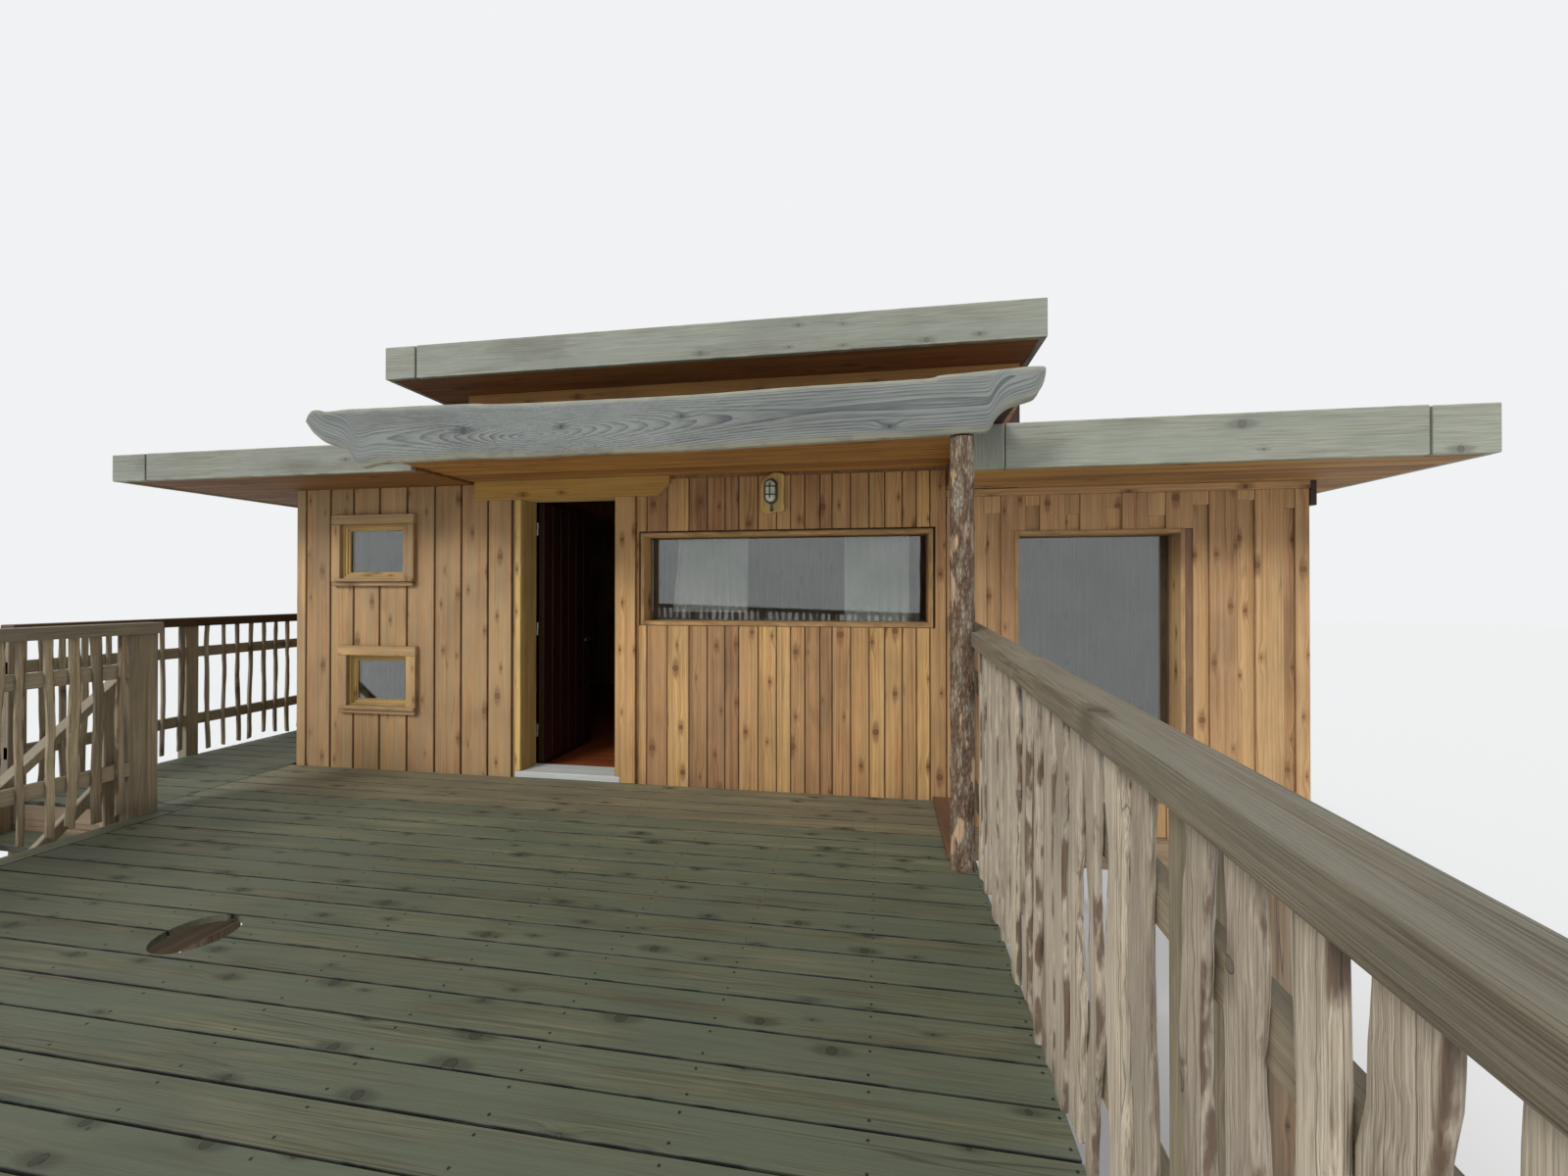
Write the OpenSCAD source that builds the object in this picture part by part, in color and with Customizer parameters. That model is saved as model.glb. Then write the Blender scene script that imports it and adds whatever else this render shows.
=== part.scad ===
// Timber cabin on stilts with a terrace deck, flat roofs and a canopy with a live-edge fascia.
// X runs along the front wall to the right, Y runs back from the deck, Z is up from the ground.
// Lengths are in millimetres. Heights named *_h are above the deck unless their comment says otherwise.

/* [Deck] */
// Height of the walking surface above the ground
deck_h = 2600; // [2300:50:3000]
// Left edge of the deck
deck_x0 = 130; // [60:10:200]
// Right edge of the deck
deck_x1 = 5130; // [5125:5:5200]
// Depth of the deck from the front wall to the near railing
deck_d = 5570; // [4600:10:6500]
// Thickness of the deck boards
board_t = 28; // [22:1:35]
// Gap between the walls and the deck boards
wall_gap = 28; // [26:1:40]
// Seam between the deck's boards and the landing's boards
seam = 6; // [4:1:10]
// Radius of the round hole in the deck
hole_r = 140; // [110:5:180]
// Hole centre along the wall
hole_x = 1910; // [1800:10:1960]
// Hole centre, distance in front of the wall
hole_y = 2065; // [1700:5:2400]
// Thickness of the flat board beside the log post
edge_board_t = 26; // [18:1:35]

/* [Cabin] */
// Length of the cabin along the front
cab_w = 7220; // [7020:50:7520]
// Depth of the cabin
cab_d = 4200; // [3600:50:4800]
// Thickness of the walls
wall_t = 180; // [150:5:200]
// Thickness of the cabin floor
floor_t = 48; // [30:2:60]
// Height of the cabin floor above the deck
floor_rise = 20; // [10:2:40]
// Left end of the raised middle bay and of the canopy
bay_x0 = 1580; // [1450:10:1600]
// Right end of the canopy and of the taller front wall
bay_x1 = 5080; // [5020:10:5120]
// Right face of the raised clerestory
clere_x1 = 5524; // [5400:10:5540]

/* [Roofs] */
// Soffit of the left roof
left_soffit_h = 2195; // [2180:5:2205]
// Soffit of the right roof
right_soffit_h = 2060; // [2000:5:2090]
// Soffit of the canopy
canopy_soffit_h = 2215; // [2210:5:2240]
// Soffit of the upper roof
upper_soffit_h = 2870; // [2700:10:3000]
// Height of the left fascia
left_fascia_h = 195; // [170:5:230]
// Height of the right fascia
right_fascia_h = 250; // [200:5:280]
// Height of the upper fascia
upper_fascia_h = 230; // [180:5:280]
// Thickness of the fascia boards
fascia_t = 40; // [28:2:60]
// Length of the short board at the left fascia's front corner
left_corner = 298; // [200:2:400]
// Length of the short board at the right fascia's front corner
right_corner = 295; // [200:5:400]
// Length of the short board at the upper fascia's front corner
upper_corner = 240; // [160:10:340]
// How far the left fascia hangs below its soffit
left_drip = 10; // [0:5:50]
// Overhang of the left roof in front and behind
left_eave = 600; // [450:10:640]
// Left end of the left roof, distance from the cabin corner
left_verge = 890; // [600:10:1000]
// Overhang of the right roof in front and behind
right_eave = 660; // [450:10:760]
// Right end of the right roof, distance from the cabin corner
right_verge = 410; // [200:10:700]
// Overhang of the upper roof in front and behind
upper_eave = 420; // [300:10:560]
// Overhang of the upper roof on the left
upper_verge_l = 370; // [200:10:500]
// Overhang of the upper roof on the right
upper_verge_r = 86; // [60:2:200]
// Reach of the canopy in front of the wall
canopy_reach = 1000; // [940:10:1100]
// Thickness of the canopy
canopy_t = 205; // [155:5:215]
// How far the canopy laps over the right roof
canopy_lap = 320; // [200:10:400]
// Height of the slab's outline above the canopy's soffit
slab_rise = 35; // [20:5:40]
// Thickness of the live-edge slab
slab_t = 60; // [40:5:80]

/* [Log post] */
// Radius of the log
log_r = 60; // [50:1:64]
// Log centre along the wall
log_x = 5050; // [5040:2:5056]
// Log centre, distance in front of the wall
log_y = 985; // [900:5:990]

/* [Door] */
// Left side of the door's rough opening
door_x0 = 1955; // [1925:5:1965]
// Right side of the door's rough opening
door_x1 = 2785; // [2760:5:2820]
// Top of the door's rough opening
door_h = 2120; // [2100:5:2130]
// Thickness of the frame where the leaf shuts
frame_t = 40; // [30:1:50]
// Extra thickness of the stop in front of the leaf
stop_t = 12; // [8:1:20]
// Thickness of the leaf
leaf_t = 45; // [38:1:55]
// Gap round the leaf
leaf_gap = 6; // [5:1:8]
// Top of the threshold
threshold_h = 45; // [35:1:60]
// How far the leaf stands open
door_open = 90; // [0:5:100]
// Radius of a hinge knuckle
knuckle_r = 8; // [7:0.5:10]
// Radius of a hinge pin
pin_r = 4; // [3:0.25:5]
// Radial play of a pin in its knuckle
pin_play = 0.1; // [0.05:0.05:0.2]
// Height of the lintel board
lintel_w = 145; // [120:5:160]
// Thickness of the lintel board
lintel_t = 45; // [30:1:60]

/* [Windows] */
// Recess of the wide window's and picture window's sash
deep_recess = 118; // [60:2:120]
// Recess of the small windows' sash
small_recess = 10; // [5:1:30]
// Width of the sash bars
sash_w = 34; // [25:1:60]
// Width of the beads that hold the glass of the two large windows
bead_w = 6; // [4:1:20]
// Depth of the sash bars
sash_d = 60; // [45:1:70]
// Thickness of the linings in the window holes
lining_t = 26; // [20:1:35]
// Thickness of the linings of the two small windows
small_lining_t = 14; // [10:1:25]
// Thickness of the glass
glass_t = 24; // [12:1:28]
// Width of the casings round the small windows
casing_w = 75; // [60:5:95]
// Thickness of the casings and how far they stand out
casing_t = 34; // [28:1:45]
// How far the linings stand out from the wall
lining_out = 6; // [2:1:15]
// How far a sill stands out from the wall
sill_out = 60; // [40:5:80]
// Thickness of a sill
sill_t = 28; // [20:1:40]

/* [Railings] */
// Top of the deck's handrail
rail_h = 1190; // [1000:10:1250]
// How much higher the right handrail starts, at the wall
right_rail_rise = 30; // [0:5:60]
// Fall of the right handrail on its way from the wall to the near corner
right_rail_fall = 190; // [120:10:220]
// Top of the gallery's handrail
gallery_rail_h = 1160; // [1000:10:1250]
// Width of a handrail
hand_w = 120; // [90:5:140]
// Height of a handrail
hand_t = 70; // [50:5:80]
// Side of a railing post
post_w = 90; // [70:5:100]
// Thickness of the two horizontal rails
bar_t = 40; // [28:1:50]
// Height of the two horizontal rails
bar_w = 85; // [60:5:100]
// Centre of the lower rail
bar_low_h = 300; // [200:10:400]
// Centre of the upper rail
bar_high_h = 900; // [800:10:950]
// Distance from stick to stick
stick_pitch = 112; // [104:2:150]
// Spacing of the narrower sticks on the left, in mm
narrow_pitch = 98; // [88:2:130]
// Where the right railing's second post stands, from the wall, in mm
right_post_first = 1898; // [1850:2:1940]
// Spacing of the right railing's posts, in mm
right_post_pitch = 1038; // [1000:2:1080]
// Width of the right railing's posts, in mm
right_post_w = 70; // [60:5:80]
// Distance from pole to pole in the gallery's railing
pole_pitch = 116; // [90:2:150]
// Thickness of a stick
stick_t = 24; // [18:1:32]

/* [Substructure] */
// Side of a stilt
stilt_w = 200; // [160:10:220]
// Height of the beams
beam_h = 220; // [180:10:260]
// Width of the beams under the cabin
cabin_beam_w = 240; // [220:5:260]
// Width of the beams under the deck
deck_beam_w = 140; // [120:5:180]
// Height of a joist
joist_h = 145; // [120:5:180]
// Width of a joist
joist_w = 45; // [38:1:60]
// Outer edge of the gallery left of the cabin
gallery_w = 1100; // [950:10:1150]

/* [Stair] */
// Number of risers
risers = 13; // [12:1:15]
// Going of a tread
going = 195; // [180:5:230]
// Thickness of a tread
tread_t = 40; // [30:2:50]
// Thickness of a stringer
stringer_t = 45; // [35:1:60]
// Clear passage between the front wall and the end of the left railing
passage = 1000; // [900:10:1100]

/* [Hidden] */
$fn = 48;

cladding = "#b9824f";
new_wood = "#c9a468";
silver = "#8f8f88";
soffit_brown = "#7d5636";
deck_grey = "#7b7a6c";
stick_grey = "#8c7c68";
bark = "#5c4a3a";
beam_brown = "#7a6248";
floor_red = "#8c4a26";
bronze = "#4a4c38";
glass_blue = [0.55, 0.65, 0.68, 0.4];

deck_y0 = -deck_d;
joist_top = -board_t;
beam_top = joist_top - joist_h;
beam_bottom = beam_top - beam_h;
stilt_h = deck_h + beam_bottom;
wall_h = left_soffit_h - beam_top;
right_wall_h = right_soffit_h - beam_top;
right_roof_x1 = cab_w + right_verge;
mid_x = (right_roof_x1 - gallery_w - post_w) / 2;
mid_y = (deck_y0 - post_w + cab_d + right_eave) / 2;
clear = 0.3;

// Windows as [left, right, bottom, top], in the front wall
upper_window = [439, 1011, 1486, 1909];
lower_window = [502, 1030, 489, 883];
wide_window = [2932, 4993, 1140, 1806];
picture_window = [5511, 6584, 62, 1780];

// Rows of stilts: cabin and gallery, deck, and the head of the stair
cabin_rows = [cabin_beam_w / 2, cab_d / 2, cab_d - cabin_beam_w / 2];
cabin_columns = [-gallery_w + stilt_w / 2, cabin_beam_w / 2, cab_w / 2, cab_w - cabin_beam_w / 2];
deck_row_1 = deck_y0 / 2;
deck_row_2 = deck_y0 + 270;
deck_columns = [deck_x0 + 270, (deck_x0 + deck_x1) / 2, deck_x1 - 230];
head_row = -passage + deck_beam_w / 2;
head_x1 = 700;
head_columns = [-gallery_w + stilt_w / 2, 450];

// A repeatable number from 0 to 1 for each whole number
function chance(i) = let (s = sin(i * 78.233) * 43758.5453) s - floor(s);

// A smooth curve through a list of points, with n steps from each point to the next
function curve_point(p, i, t) = let (
    a = p[max(i - 1, 0)],
    b = p[i],
    c = p[min(i + 1, len(p) - 1)],
    d = p[min(i + 2, len(p) - 1)])
    0.5 * ((2 * b) + (c - a) * t + (2 * a - 5 * b + 4 * c - d) * t * t
        + (3 * b - 3 * c + d - a) * t * t * t);
function curve(p, n) = concat(
    [for (i = [0:len(p) - 2]) for (k = [0:n - 1]) curve_point(p, i, k / n)],
    [p[len(p) - 1]]);

// Puts the object's bottom centre at the origin
module place() {
    translate([-mid_x, -mid_y, 0]) children();
}

// Everything above the deck is drawn from the deck's walking surface
module on_deck() {
    place() translate([0, 0, deck_h]) children();
}

// A box from its lowest to its highest corner
module block(a, b) {
    translate(a) cube(b - a);
}

// Stands an outline drawn in X and Z up, from y0 back to y1
module upright(y0, y1) {
    translate([0, y1, 0]) rotate([90, 0, 0]) linear_extrude(y1 - y0) children();
}

// Substructure

module stilt(x, y) {
    block([x - stilt_w / 2, y - stilt_w / 2, 0], [x + stilt_w / 2, y + stilt_w / 2, stilt_h]);
}

module stilts() {
    color(beam_brown) place() {
        for (y = cabin_rows) for (x = cabin_columns) stilt(x, y);
        for (y = [deck_row_1, deck_row_2]) for (x = deck_columns) stilt(x, y);
        for (x = head_columns) stilt(x, head_row);
    }
}

// A 45 degree brace from a stilt's side to the underside of its beam
brace_w = 90;
brace_reach = 620;
module knee_brace(x, y, side) {
    face = x + side * stilt_w / 2;
    z0 = stilt_h - brace_reach;
    cut = brace_w * sqrt(2);
    translate([face, 0, 0]) upright(y - brace_w / 2, y + brace_w / 2)
        polygon([[0, z0], [side * brace_reach, stilt_h], [side * (brace_reach - cut), stilt_h],
            [0, z0 + cut]]);
}

module knee_braces() {
    color(beam_brown) place() {
        for (y = [cabin_rows[0], cabin_rows[2]]) {
            knee_brace(cabin_columns[1], y, 1);
            knee_brace(cabin_columns[2], y, -1);
            knee_brace(cabin_columns[2], y, 1);
            knee_brace(cabin_columns[3], y, -1);
        }
        knee_brace(deck_columns[0], deck_row_2, 1);
        knee_brace(deck_columns[1], deck_row_2, -1);
        knee_brace(deck_columns[1], deck_row_2, 1);
        knee_brace(deck_columns[2], deck_row_2, -1);
    }
}

module beam(x0, x1, y, w) {
    block([x0, y - w / 2, beam_bottom], [x1, y + w / 2, beam_top]);
}

ledger_t = 45;
ledger_h = 120;
module beams() {
    color(beam_brown) on_deck() {
        for (y = cabin_rows) beam(-gallery_w, cab_w, y, cabin_beam_w);
        beam(deck_x0, deck_x1, deck_row_1, deck_beam_w);
        beam(deck_x0, deck_x1, deck_row_2, deck_beam_w);
        beam(-gallery_w, head_x1, head_row, deck_beam_w);
        block([deck_x0, -ledger_t, beam_top - ledger_h], [deck_x1, 0, beam_top]);
    }
}

module joist(x0, y0, y1) {
    block([x0, y0, beam_top], [x0 + joist_w, y1, joist_top]);
}

cabin_joists = 12;
deck_joists = 11;
deck_step = (deck_x1 - deck_x0 - joist_w) / (deck_joists - 1);
module joists() {
    room_w = cab_w - 2 * wall_t;
    cabin_step = (room_w - joist_w) / (cabin_joists - 1);
    color(beam_brown) on_deck() {
        for (i = [0:cabin_joists - 1]) joist(wall_t + i * cabin_step, wall_t, cab_d - wall_t);
        for (i = [0:deck_joists - 1])
            joist(deck_x0 + i * deck_step, deck_y0 + joist_w + clear, 0);
        block([deck_x0, deck_y0, beam_top], [deck_x1, deck_y0 + joist_w, joist_top]);
        for (x = [-gallery_w, -gallery_w / 2, -wall_gap - joist_w])
            joist(x, -passage + joist_w + clear, cab_d);
        block([-gallery_w, -passage, beam_top],
            [deck_x0 - clear, -passage + joist_w, joist_top]);
        block([door_x0, clear, beam_top], [door_x1, wall_t - clear, joist_top]);
    }
}

// Cabin

module cabin_floor() {
    color(floor_red) on_deck()
        block([wall_t, wall_t, floor_rise - floor_t],
            [cab_w - wall_t, cab_d - wall_t, floor_rise]);
}

// A wall piece along the front, with its window holes
module front_piece(x0, x1, z0, z1, holes) {
    difference() {
        block([x0, 0, z0], [x1, wall_t, z1]);
        for (w = holes) block([w[0], -1, w[2]], [w[1], wall_t + 1, w[3]]);
    }
}

module front_wall_left() {
    color(cladding) on_deck()
        front_piece(0, door_x0, beam_top, left_soffit_h, [upper_window, lower_window]);
}

module front_wall_over_door() {
    color(cladding) on_deck() front_piece(door_x0, door_x1, door_h, left_soffit_h, []);
}

module front_wall_centre() {
    color(cladding) on_deck()
        front_piece(door_x1, bay_x1, beam_top, left_soffit_h, [wide_window]);
}

module front_wall_right() {
    color(cladding) on_deck()
        front_piece(bay_x1, cab_w, beam_top, right_soffit_h, [picture_window]);
}

module left_wall() {
    color(cladding) on_deck()
        block([0, wall_t, beam_top], [wall_t, cab_d - wall_t, left_soffit_h]);
}

module right_wall() {
    color(cladding) on_deck()
        block([cab_w - wall_t, wall_t, beam_top], [cab_w, cab_d - wall_t, right_soffit_h]);
}

// The back wall steps down where the right roof is lower
module back_wall() {
    color(cladding) on_deck() upright(cab_d - wall_t, cab_d)
        polygon([[0, beam_top], [cab_w, beam_top], [cab_w, right_soffit_h],
            [bay_x1, right_soffit_h], [bay_x1, left_soffit_h], [0, left_soffit_h]]);
}

// A ring of four walls that lifts the middle roof above the others
module clerestory_face() {
    polygon([[bay_x0, left_soffit_h], [bay_x1, left_soffit_h], [bay_x1, right_soffit_h],
        [clere_x1, right_soffit_h], [clere_x1, upper_soffit_h], [bay_x0, upper_soffit_h]]);
}

module clerestory() {
    color(cladding) on_deck() union() {
        upright(0, wall_t) clerestory_face();
        upright(cab_d - wall_t, cab_d) clerestory_face();
        block([bay_x0, wall_t, left_soffit_h],
            [bay_x0 + wall_t, cab_d - wall_t, upper_soffit_h]);
        block([clere_x1 - wall_t, wall_t, right_soffit_h],
            [clere_x1, cab_d - wall_t, upper_soffit_h]);
    }
}

// Roofs. Each is a boarded deck on rafters behind its fascia boards

roof_drop = 10;
corner_gap = 12;

// The front board of a fascia, from x0 to x1, with a short piece at its corner
module front_fascia(x0, x1, joint, y, z0, z1) {
    block([x0, y, z0], [joint - corner_gap / 2, y + fascia_t, z1]);
    block([joint + corner_gap / 2, y, z0], [x1, y + fascia_t, z1]);
}

module left_roof() {
    color(soffit_brown) on_deck()
        block([-left_verge + fascia_t, -left_eave + fascia_t, left_soffit_h],
            [bay_x0, cab_d + left_eave - fascia_t,
                left_soffit_h - left_drip + left_fascia_h - roof_drop]);
}

module left_fascia() {
    z0 = left_soffit_h - left_drip;
    z1 = z0 + left_fascia_h;
    back = cab_d + left_eave;
    color(silver) on_deck() {
        front_fascia(-left_verge, bay_x0, left_corner - left_verge, -left_eave, z0, z1);
        block([-left_verge, -left_eave + fascia_t, z0],
            [-left_verge + fascia_t, back - fascia_t, z1]);
        block([-left_verge, back - fascia_t, z0], [bay_x0, back, z1]);
    }
}

module right_roof() {
    x1 = right_roof_x1 - fascia_t;
    back = cab_d + right_eave - fascia_t;
    color(soffit_brown) on_deck() translate([0, 0, right_soffit_h])
        linear_extrude(right_fascia_h - roof_drop)
        polygon([[bay_x1, -right_eave + fascia_t], [x1, -right_eave + fascia_t], [x1, back],
            [bay_x1, back], [bay_x1, cab_d], [clere_x1, cab_d], [clere_x1, 0], [bay_x1, 0]]);
}

module right_fascia() {
    z0 = right_soffit_h;
    z1 = z0 + right_fascia_h;
    back = cab_d + right_eave;
    color(silver) on_deck() {
        front_fascia(bay_x1, right_roof_x1, right_roof_x1 - right_corner, -right_eave, z0, z1);
        block([right_roof_x1 - fascia_t, -right_eave + fascia_t, z0],
            [right_roof_x1, back - fascia_t, z1]);
        block([bay_x1, back - fascia_t, z0], [right_roof_x1, back, z1]);
    }
}

module upper_roof() {
    color(soffit_brown) on_deck()
        block([bay_x0 - upper_verge_l + fascia_t, -upper_eave + fascia_t, upper_soffit_h],
            [clere_x1 + upper_verge_r - fascia_t, cab_d + upper_eave - fascia_t,
                upper_soffit_h + upper_fascia_h - roof_drop]);
}

module upper_fascia() {
    x0 = bay_x0 - upper_verge_l;
    x1 = clere_x1 + upper_verge_r;
    back = cab_d + upper_eave;
    z0 = upper_soffit_h;
    z1 = z0 + upper_fascia_h;
    color(silver) on_deck() {
        front_fascia(x0, x1, x0 + upper_corner, -upper_eave, z0, z1);
        block([x0, back - fascia_t, z0], [x1, back, z1]);
        for (x = [x0, x1 - fascia_t])
            block([x, -upper_eave + fascia_t, z0], [x + fascia_t, back - fascia_t, z1]);
    }
}

// The canopy laps over the front of the right roof, behind its fascia
lap_splay = 65;
module canopy_roof() {
    top = canopy_soffit_h + canopy_t;
    lap_z = right_soffit_h + right_fascia_h - roof_drop;
    color(soffit_brown) on_deck() union() {
        block([bay_x0, -canopy_reach, canopy_soffit_h], [bay_x1, 0, top]);
        upright(-right_eave + fascia_t, 0)
            polygon([[bay_x1, lap_z], [bay_x1 + canopy_lap - lap_splay, lap_z],
                [bay_x1 + canopy_lap, top], [bay_x1, top]]);
    }
}

// Live edges of the slab, as distance from the canopy's left end and height above slab_rise
slab_lower = [[-301, 141], [-274, 94], [-240, 57], [-173, 14], [-72, -19], [-26, -43],
    [7, -79], [27, -122], [53, -136], [106, -132], [158, -120], [287, -114], [478, -112],
    [789, -108], [1030, -115], [1500, -110], [2050, -114], [2575, -103], [3265, -90],
    [3460, -84]];
slab_beak = [[3460, -84], [3572, -80], [3599, -66], [3617, -32], [3645, 5], [3681, 32],
    [3726, 48], [3771, 60], [3806, 74], [3824, 104], [3842, 136], [3851, 182]];
slab_upper = [[3851, 182], [3846, 219], [3793, 226], [3681, 221], [3544, 215], [3359, 206],
    [3265, 195], [2575, 190], [2050, 180], [1030, 187], [789, 199], [478, 204], [158, 206],
    [-39, 208], [-173, 201], [-232, 212], [-264, 212], [-287, 185], [-301, 141]];

module waney_fascia() {
    color(silver) on_deck() translate([bay_x0, 0, canopy_soffit_h + slab_rise])
        upright(-canopy_reach - slab_t, -canopy_reach)
        polygon(concat(curve(slab_lower, 4), curve(slab_beak, 4), curve(slab_upper, 4)));
}

// A log with its knots, standing on the deck under the canopy and notched behind the slab
log_steps = 16;
log_knots = [[330, 200, 17], [610, 60, 14], [900, 300, 19], [1180, 170, 15], [1460, 250, 18],
    [1700, 20, 13], [1930, 225, 20], [2080, 310, 14]];
function log_radius(k) = log_r * (1.02 - 0.035 * k / log_steps + 0.045 * (chance(k + 5) - 0.5));

slab_hang = 92;
module log_post() {
    color(bark) on_deck() difference() {
        translate([log_x, -log_y, 0]) union() {
            rotate_extrude()
                polygon(concat([[0, 0]],
                    [for (k = [0:log_steps]) [log_radius(k), canopy_soffit_h * k / log_steps]],
                    [[0, canopy_soffit_h]]));
            for (k = log_knots)
                translate([0, 0, k[0]]) rotate([0, 0, k[1]]) rotate([0, 78, 0])
                    cylinder(r = k[2], h = log_r * 1.08, $fn = 24);
        }
        block([log_x - 2 * log_r, -log_y - 2 * log_r, canopy_soffit_h + slab_rise - slab_hang],
            [log_x + 2 * log_r, -canopy_reach + clear, canopy_soffit_h + 1]);
    }
}

// Door

lintel_x0 = 1622;
lintel_x1 = 3162;
lintel_chamfer = 90;
module lintel_board() {
    z1 = canopy_soffit_h;
    z0 = z1 - lintel_w;
    color(new_wood) on_deck() upright(-lintel_t, 0)
        polygon([[lintel_x0, z0], [lintel_x1 - lintel_chamfer, z0],
            [lintel_x1, z0 + lintel_chamfer], [lintel_x1, z1], [lintel_x0, z1]]);
}

leaf_y0 = wall_t - leaf_t;
leaf_x0 = door_x0 + frame_t + leaf_gap;
leaf_x1 = door_x1 - frame_t - leaf_gap - 2;
leaf_z0 = threshold_h + leaf_gap;
leaf_z1 = door_h - frame_t - leaf_gap;
rebate_y = leaf_y0 - leaf_gap;
pivot = [leaf_x0 - leaf_gap / 2, wall_t + knuckle_r + 1];

// Two jambs and a head, rebated on the room side for the leaf. The left jamb stands out from the
// wall, and the right one is covered by a casing board
casing_lap = 38;
casing_right_w = 155;
casing_right_x = door_x1 - casing_lap;
module door_frame() {
    thick = frame_t + stop_t;
    under_lintel = canopy_soffit_h - lintel_w;
    color(new_wood) on_deck() union() {
        difference() {
            block([door_x0, 0, threshold_h], [door_x1, wall_t, door_h]);
            block([door_x0 + thick, -1, threshold_h - 1],
                [door_x1 - thick, wall_t + 1, door_h - thick]);
            block([door_x0 + frame_t, rebate_y, threshold_h - 1],
                [door_x1 - frame_t, wall_t + 1, door_h - frame_t]);
        }
        block([door_x0, -casing_t, threshold_h], [door_x0 + thick, 0, under_lintel]);
        block([casing_right_x, -casing_t, threshold_h],
            [casing_right_x + casing_right_w, 0, under_lintel]);
        block([door_x1, -casing_t, 0], [casing_right_x + casing_right_w, 0, threshold_h]);
    }
}

// The threshold carries the jambs and closes the gap to the deck
module threshold() {
    color("#b9b7ae") on_deck() union() {
        block([door_x0, 0, joist_top], [door_x1, wall_t, threshold_h]);
        block([door_x0, -casing_t, 0], [door_x1, 0, threshold_h]);
    }
}

// Turns the leaf and what it carries about the hinge pins
module swung() {
    on_deck() translate([pivot.x, pivot.y, 0]) rotate([0, 0, door_open])
        translate([-pivot.x, -pivot.y, 0]) children();
}

// A ledged leaf of upright boards
leaf_boards = 6;
leaf_groove = 4;
module door_leaf() {
    step = (leaf_x1 - leaf_x0) / leaf_boards;
    color(floor_red) swung() difference() {
        block([leaf_x0, leaf_y0, leaf_z0], [leaf_x1, wall_t, leaf_z1]);
        for (i = [1:leaf_boards - 1])
            block([leaf_x0 + i * step - leaf_groove / 2, leaf_y0 - 1, leaf_z0 - 1],
                [leaf_x0 + i * step + leaf_groove / 2, leaf_y0 + leaf_groove, leaf_z1 + 1]);
    }
}

handle_h = 960;
handle_reach = 58;
handle_r = 9;
rose_r = 26;
rose_t = 8;
lever_l = 120;
module lever(face, way) {
    translate([leaf_x1 - 60, face, handle_h]) rotate([way * 90, 0, 0]) union() {
        cylinder(r = rose_r, h = rose_t);
        cylinder(r = handle_r, h = handle_reach);
        translate([0, 0, handle_reach - handle_r]) rotate([0, -90, 0])
            cylinder(r = handle_r, h = lever_l);
    }
}

module door_handle() {
    color("#9a9d9f") swung() {
        lever(leaf_y0, 1);
        lever(wall_t, -1);
    }
}

// Lift-off hinges: the frame's half carries the pin and the leaf's half drops on it
hinge_levels = [250, 1040, 1820];
knuckle_h = 50;
plate_t = 3;
plate_w = 34;
module hinge_plate(x0, x1, z0) {
    block([x0, wall_t, z0], [x1, wall_t + plate_t, z0 + knuckle_h]);
}

module frame_hinges() {
    color(silver) on_deck() for (z = hinge_levels) union() {
        translate([pivot.x, pivot.y, z]) cylinder(r = knuckle_r, h = knuckle_h);
        translate([pivot.x, pivot.y, z]) cylinder(r = pin_r, h = 2 * knuckle_h - 6);
        hinge_plate(pivot.x - plate_w, pivot.x, z);
    }
}

module leaf_hinges() {
    color(silver) swung() for (z = hinge_levels)
        difference() {
            union() {
                translate([pivot.x, pivot.y, z + knuckle_h + clear])
                    cylinder(r = knuckle_r, h = knuckle_h);
                hinge_plate(leaf_x0, pivot.x + plate_w, z + knuckle_h + clear);
                block([pivot.x, wall_t + clear, z + knuckle_h + clear],
                    [leaf_x0 + 1, wall_t + plate_t, z + 2 * knuckle_h + clear]);
            }
            translate([pivot.x, pivot.y, z]) cylinder(r = pin_r + pin_play, h = 3 * knuckle_h);
        }
}

// Windows

// A lining in the wall's hole, and in it a sash, or only beads, round the glass
module window_lining(w, recess, lining, bar) {
    in0 = w[0] + lining;
    in1 = w[1] - lining;
    bottom = w[2] + lining;
    top = w[3] - lining;
    difference() {
        block([w[0], -lining_out, w[2]], [w[1], wall_t, w[3]]);
        block([in0, -lining_out - 1, bottom], [in1, recess, top]);
        block([in0, recess + sash_d, bottom], [in1, wall_t + 1, top]);
        block([in0 + bar, -lining_out - 1, bottom + bar], [in1 - bar, wall_t + 1, top - bar]);
    }
}

// A small window also has casing boards on the wall and a sill
module small_window(w) {
    window_lining(w, small_recess, small_lining_t, sash_w);
    difference() {
        union() {
            block([w[0] - casing_w, -casing_t, w[2] - casing_w],
                [w[1] + casing_w, 0, w[3] + casing_w]);
            block([w[0] - casing_w - 10, -sill_out, w[2] - sill_t],
                [w[1] + casing_w + 10, 0, w[2]]);
        }
        block([w[0], -sill_out - 1, w[2]], [w[1], 1, w[3]]);
    }
}

module pane(w, recess, inset) {
    y0 = recess + (sash_d - glass_t) / 2;
    block([w[0] + inset, y0, w[2] + inset], [w[1] - inset, y0 + glass_t, w[3] - inset]);
}

module small_window_frames() {
    color(new_wood) on_deck() union() {
        small_window(upper_window);
        small_window(lower_window);
    }
}

module wide_window_frame() {
    color(new_wood) on_deck() window_lining(wide_window, deep_recess, lining_t, bead_w);
}

module picture_window_frame() {
    color(new_wood) on_deck() window_lining(picture_window, deep_recess, lining_t, bead_w);
}

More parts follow.
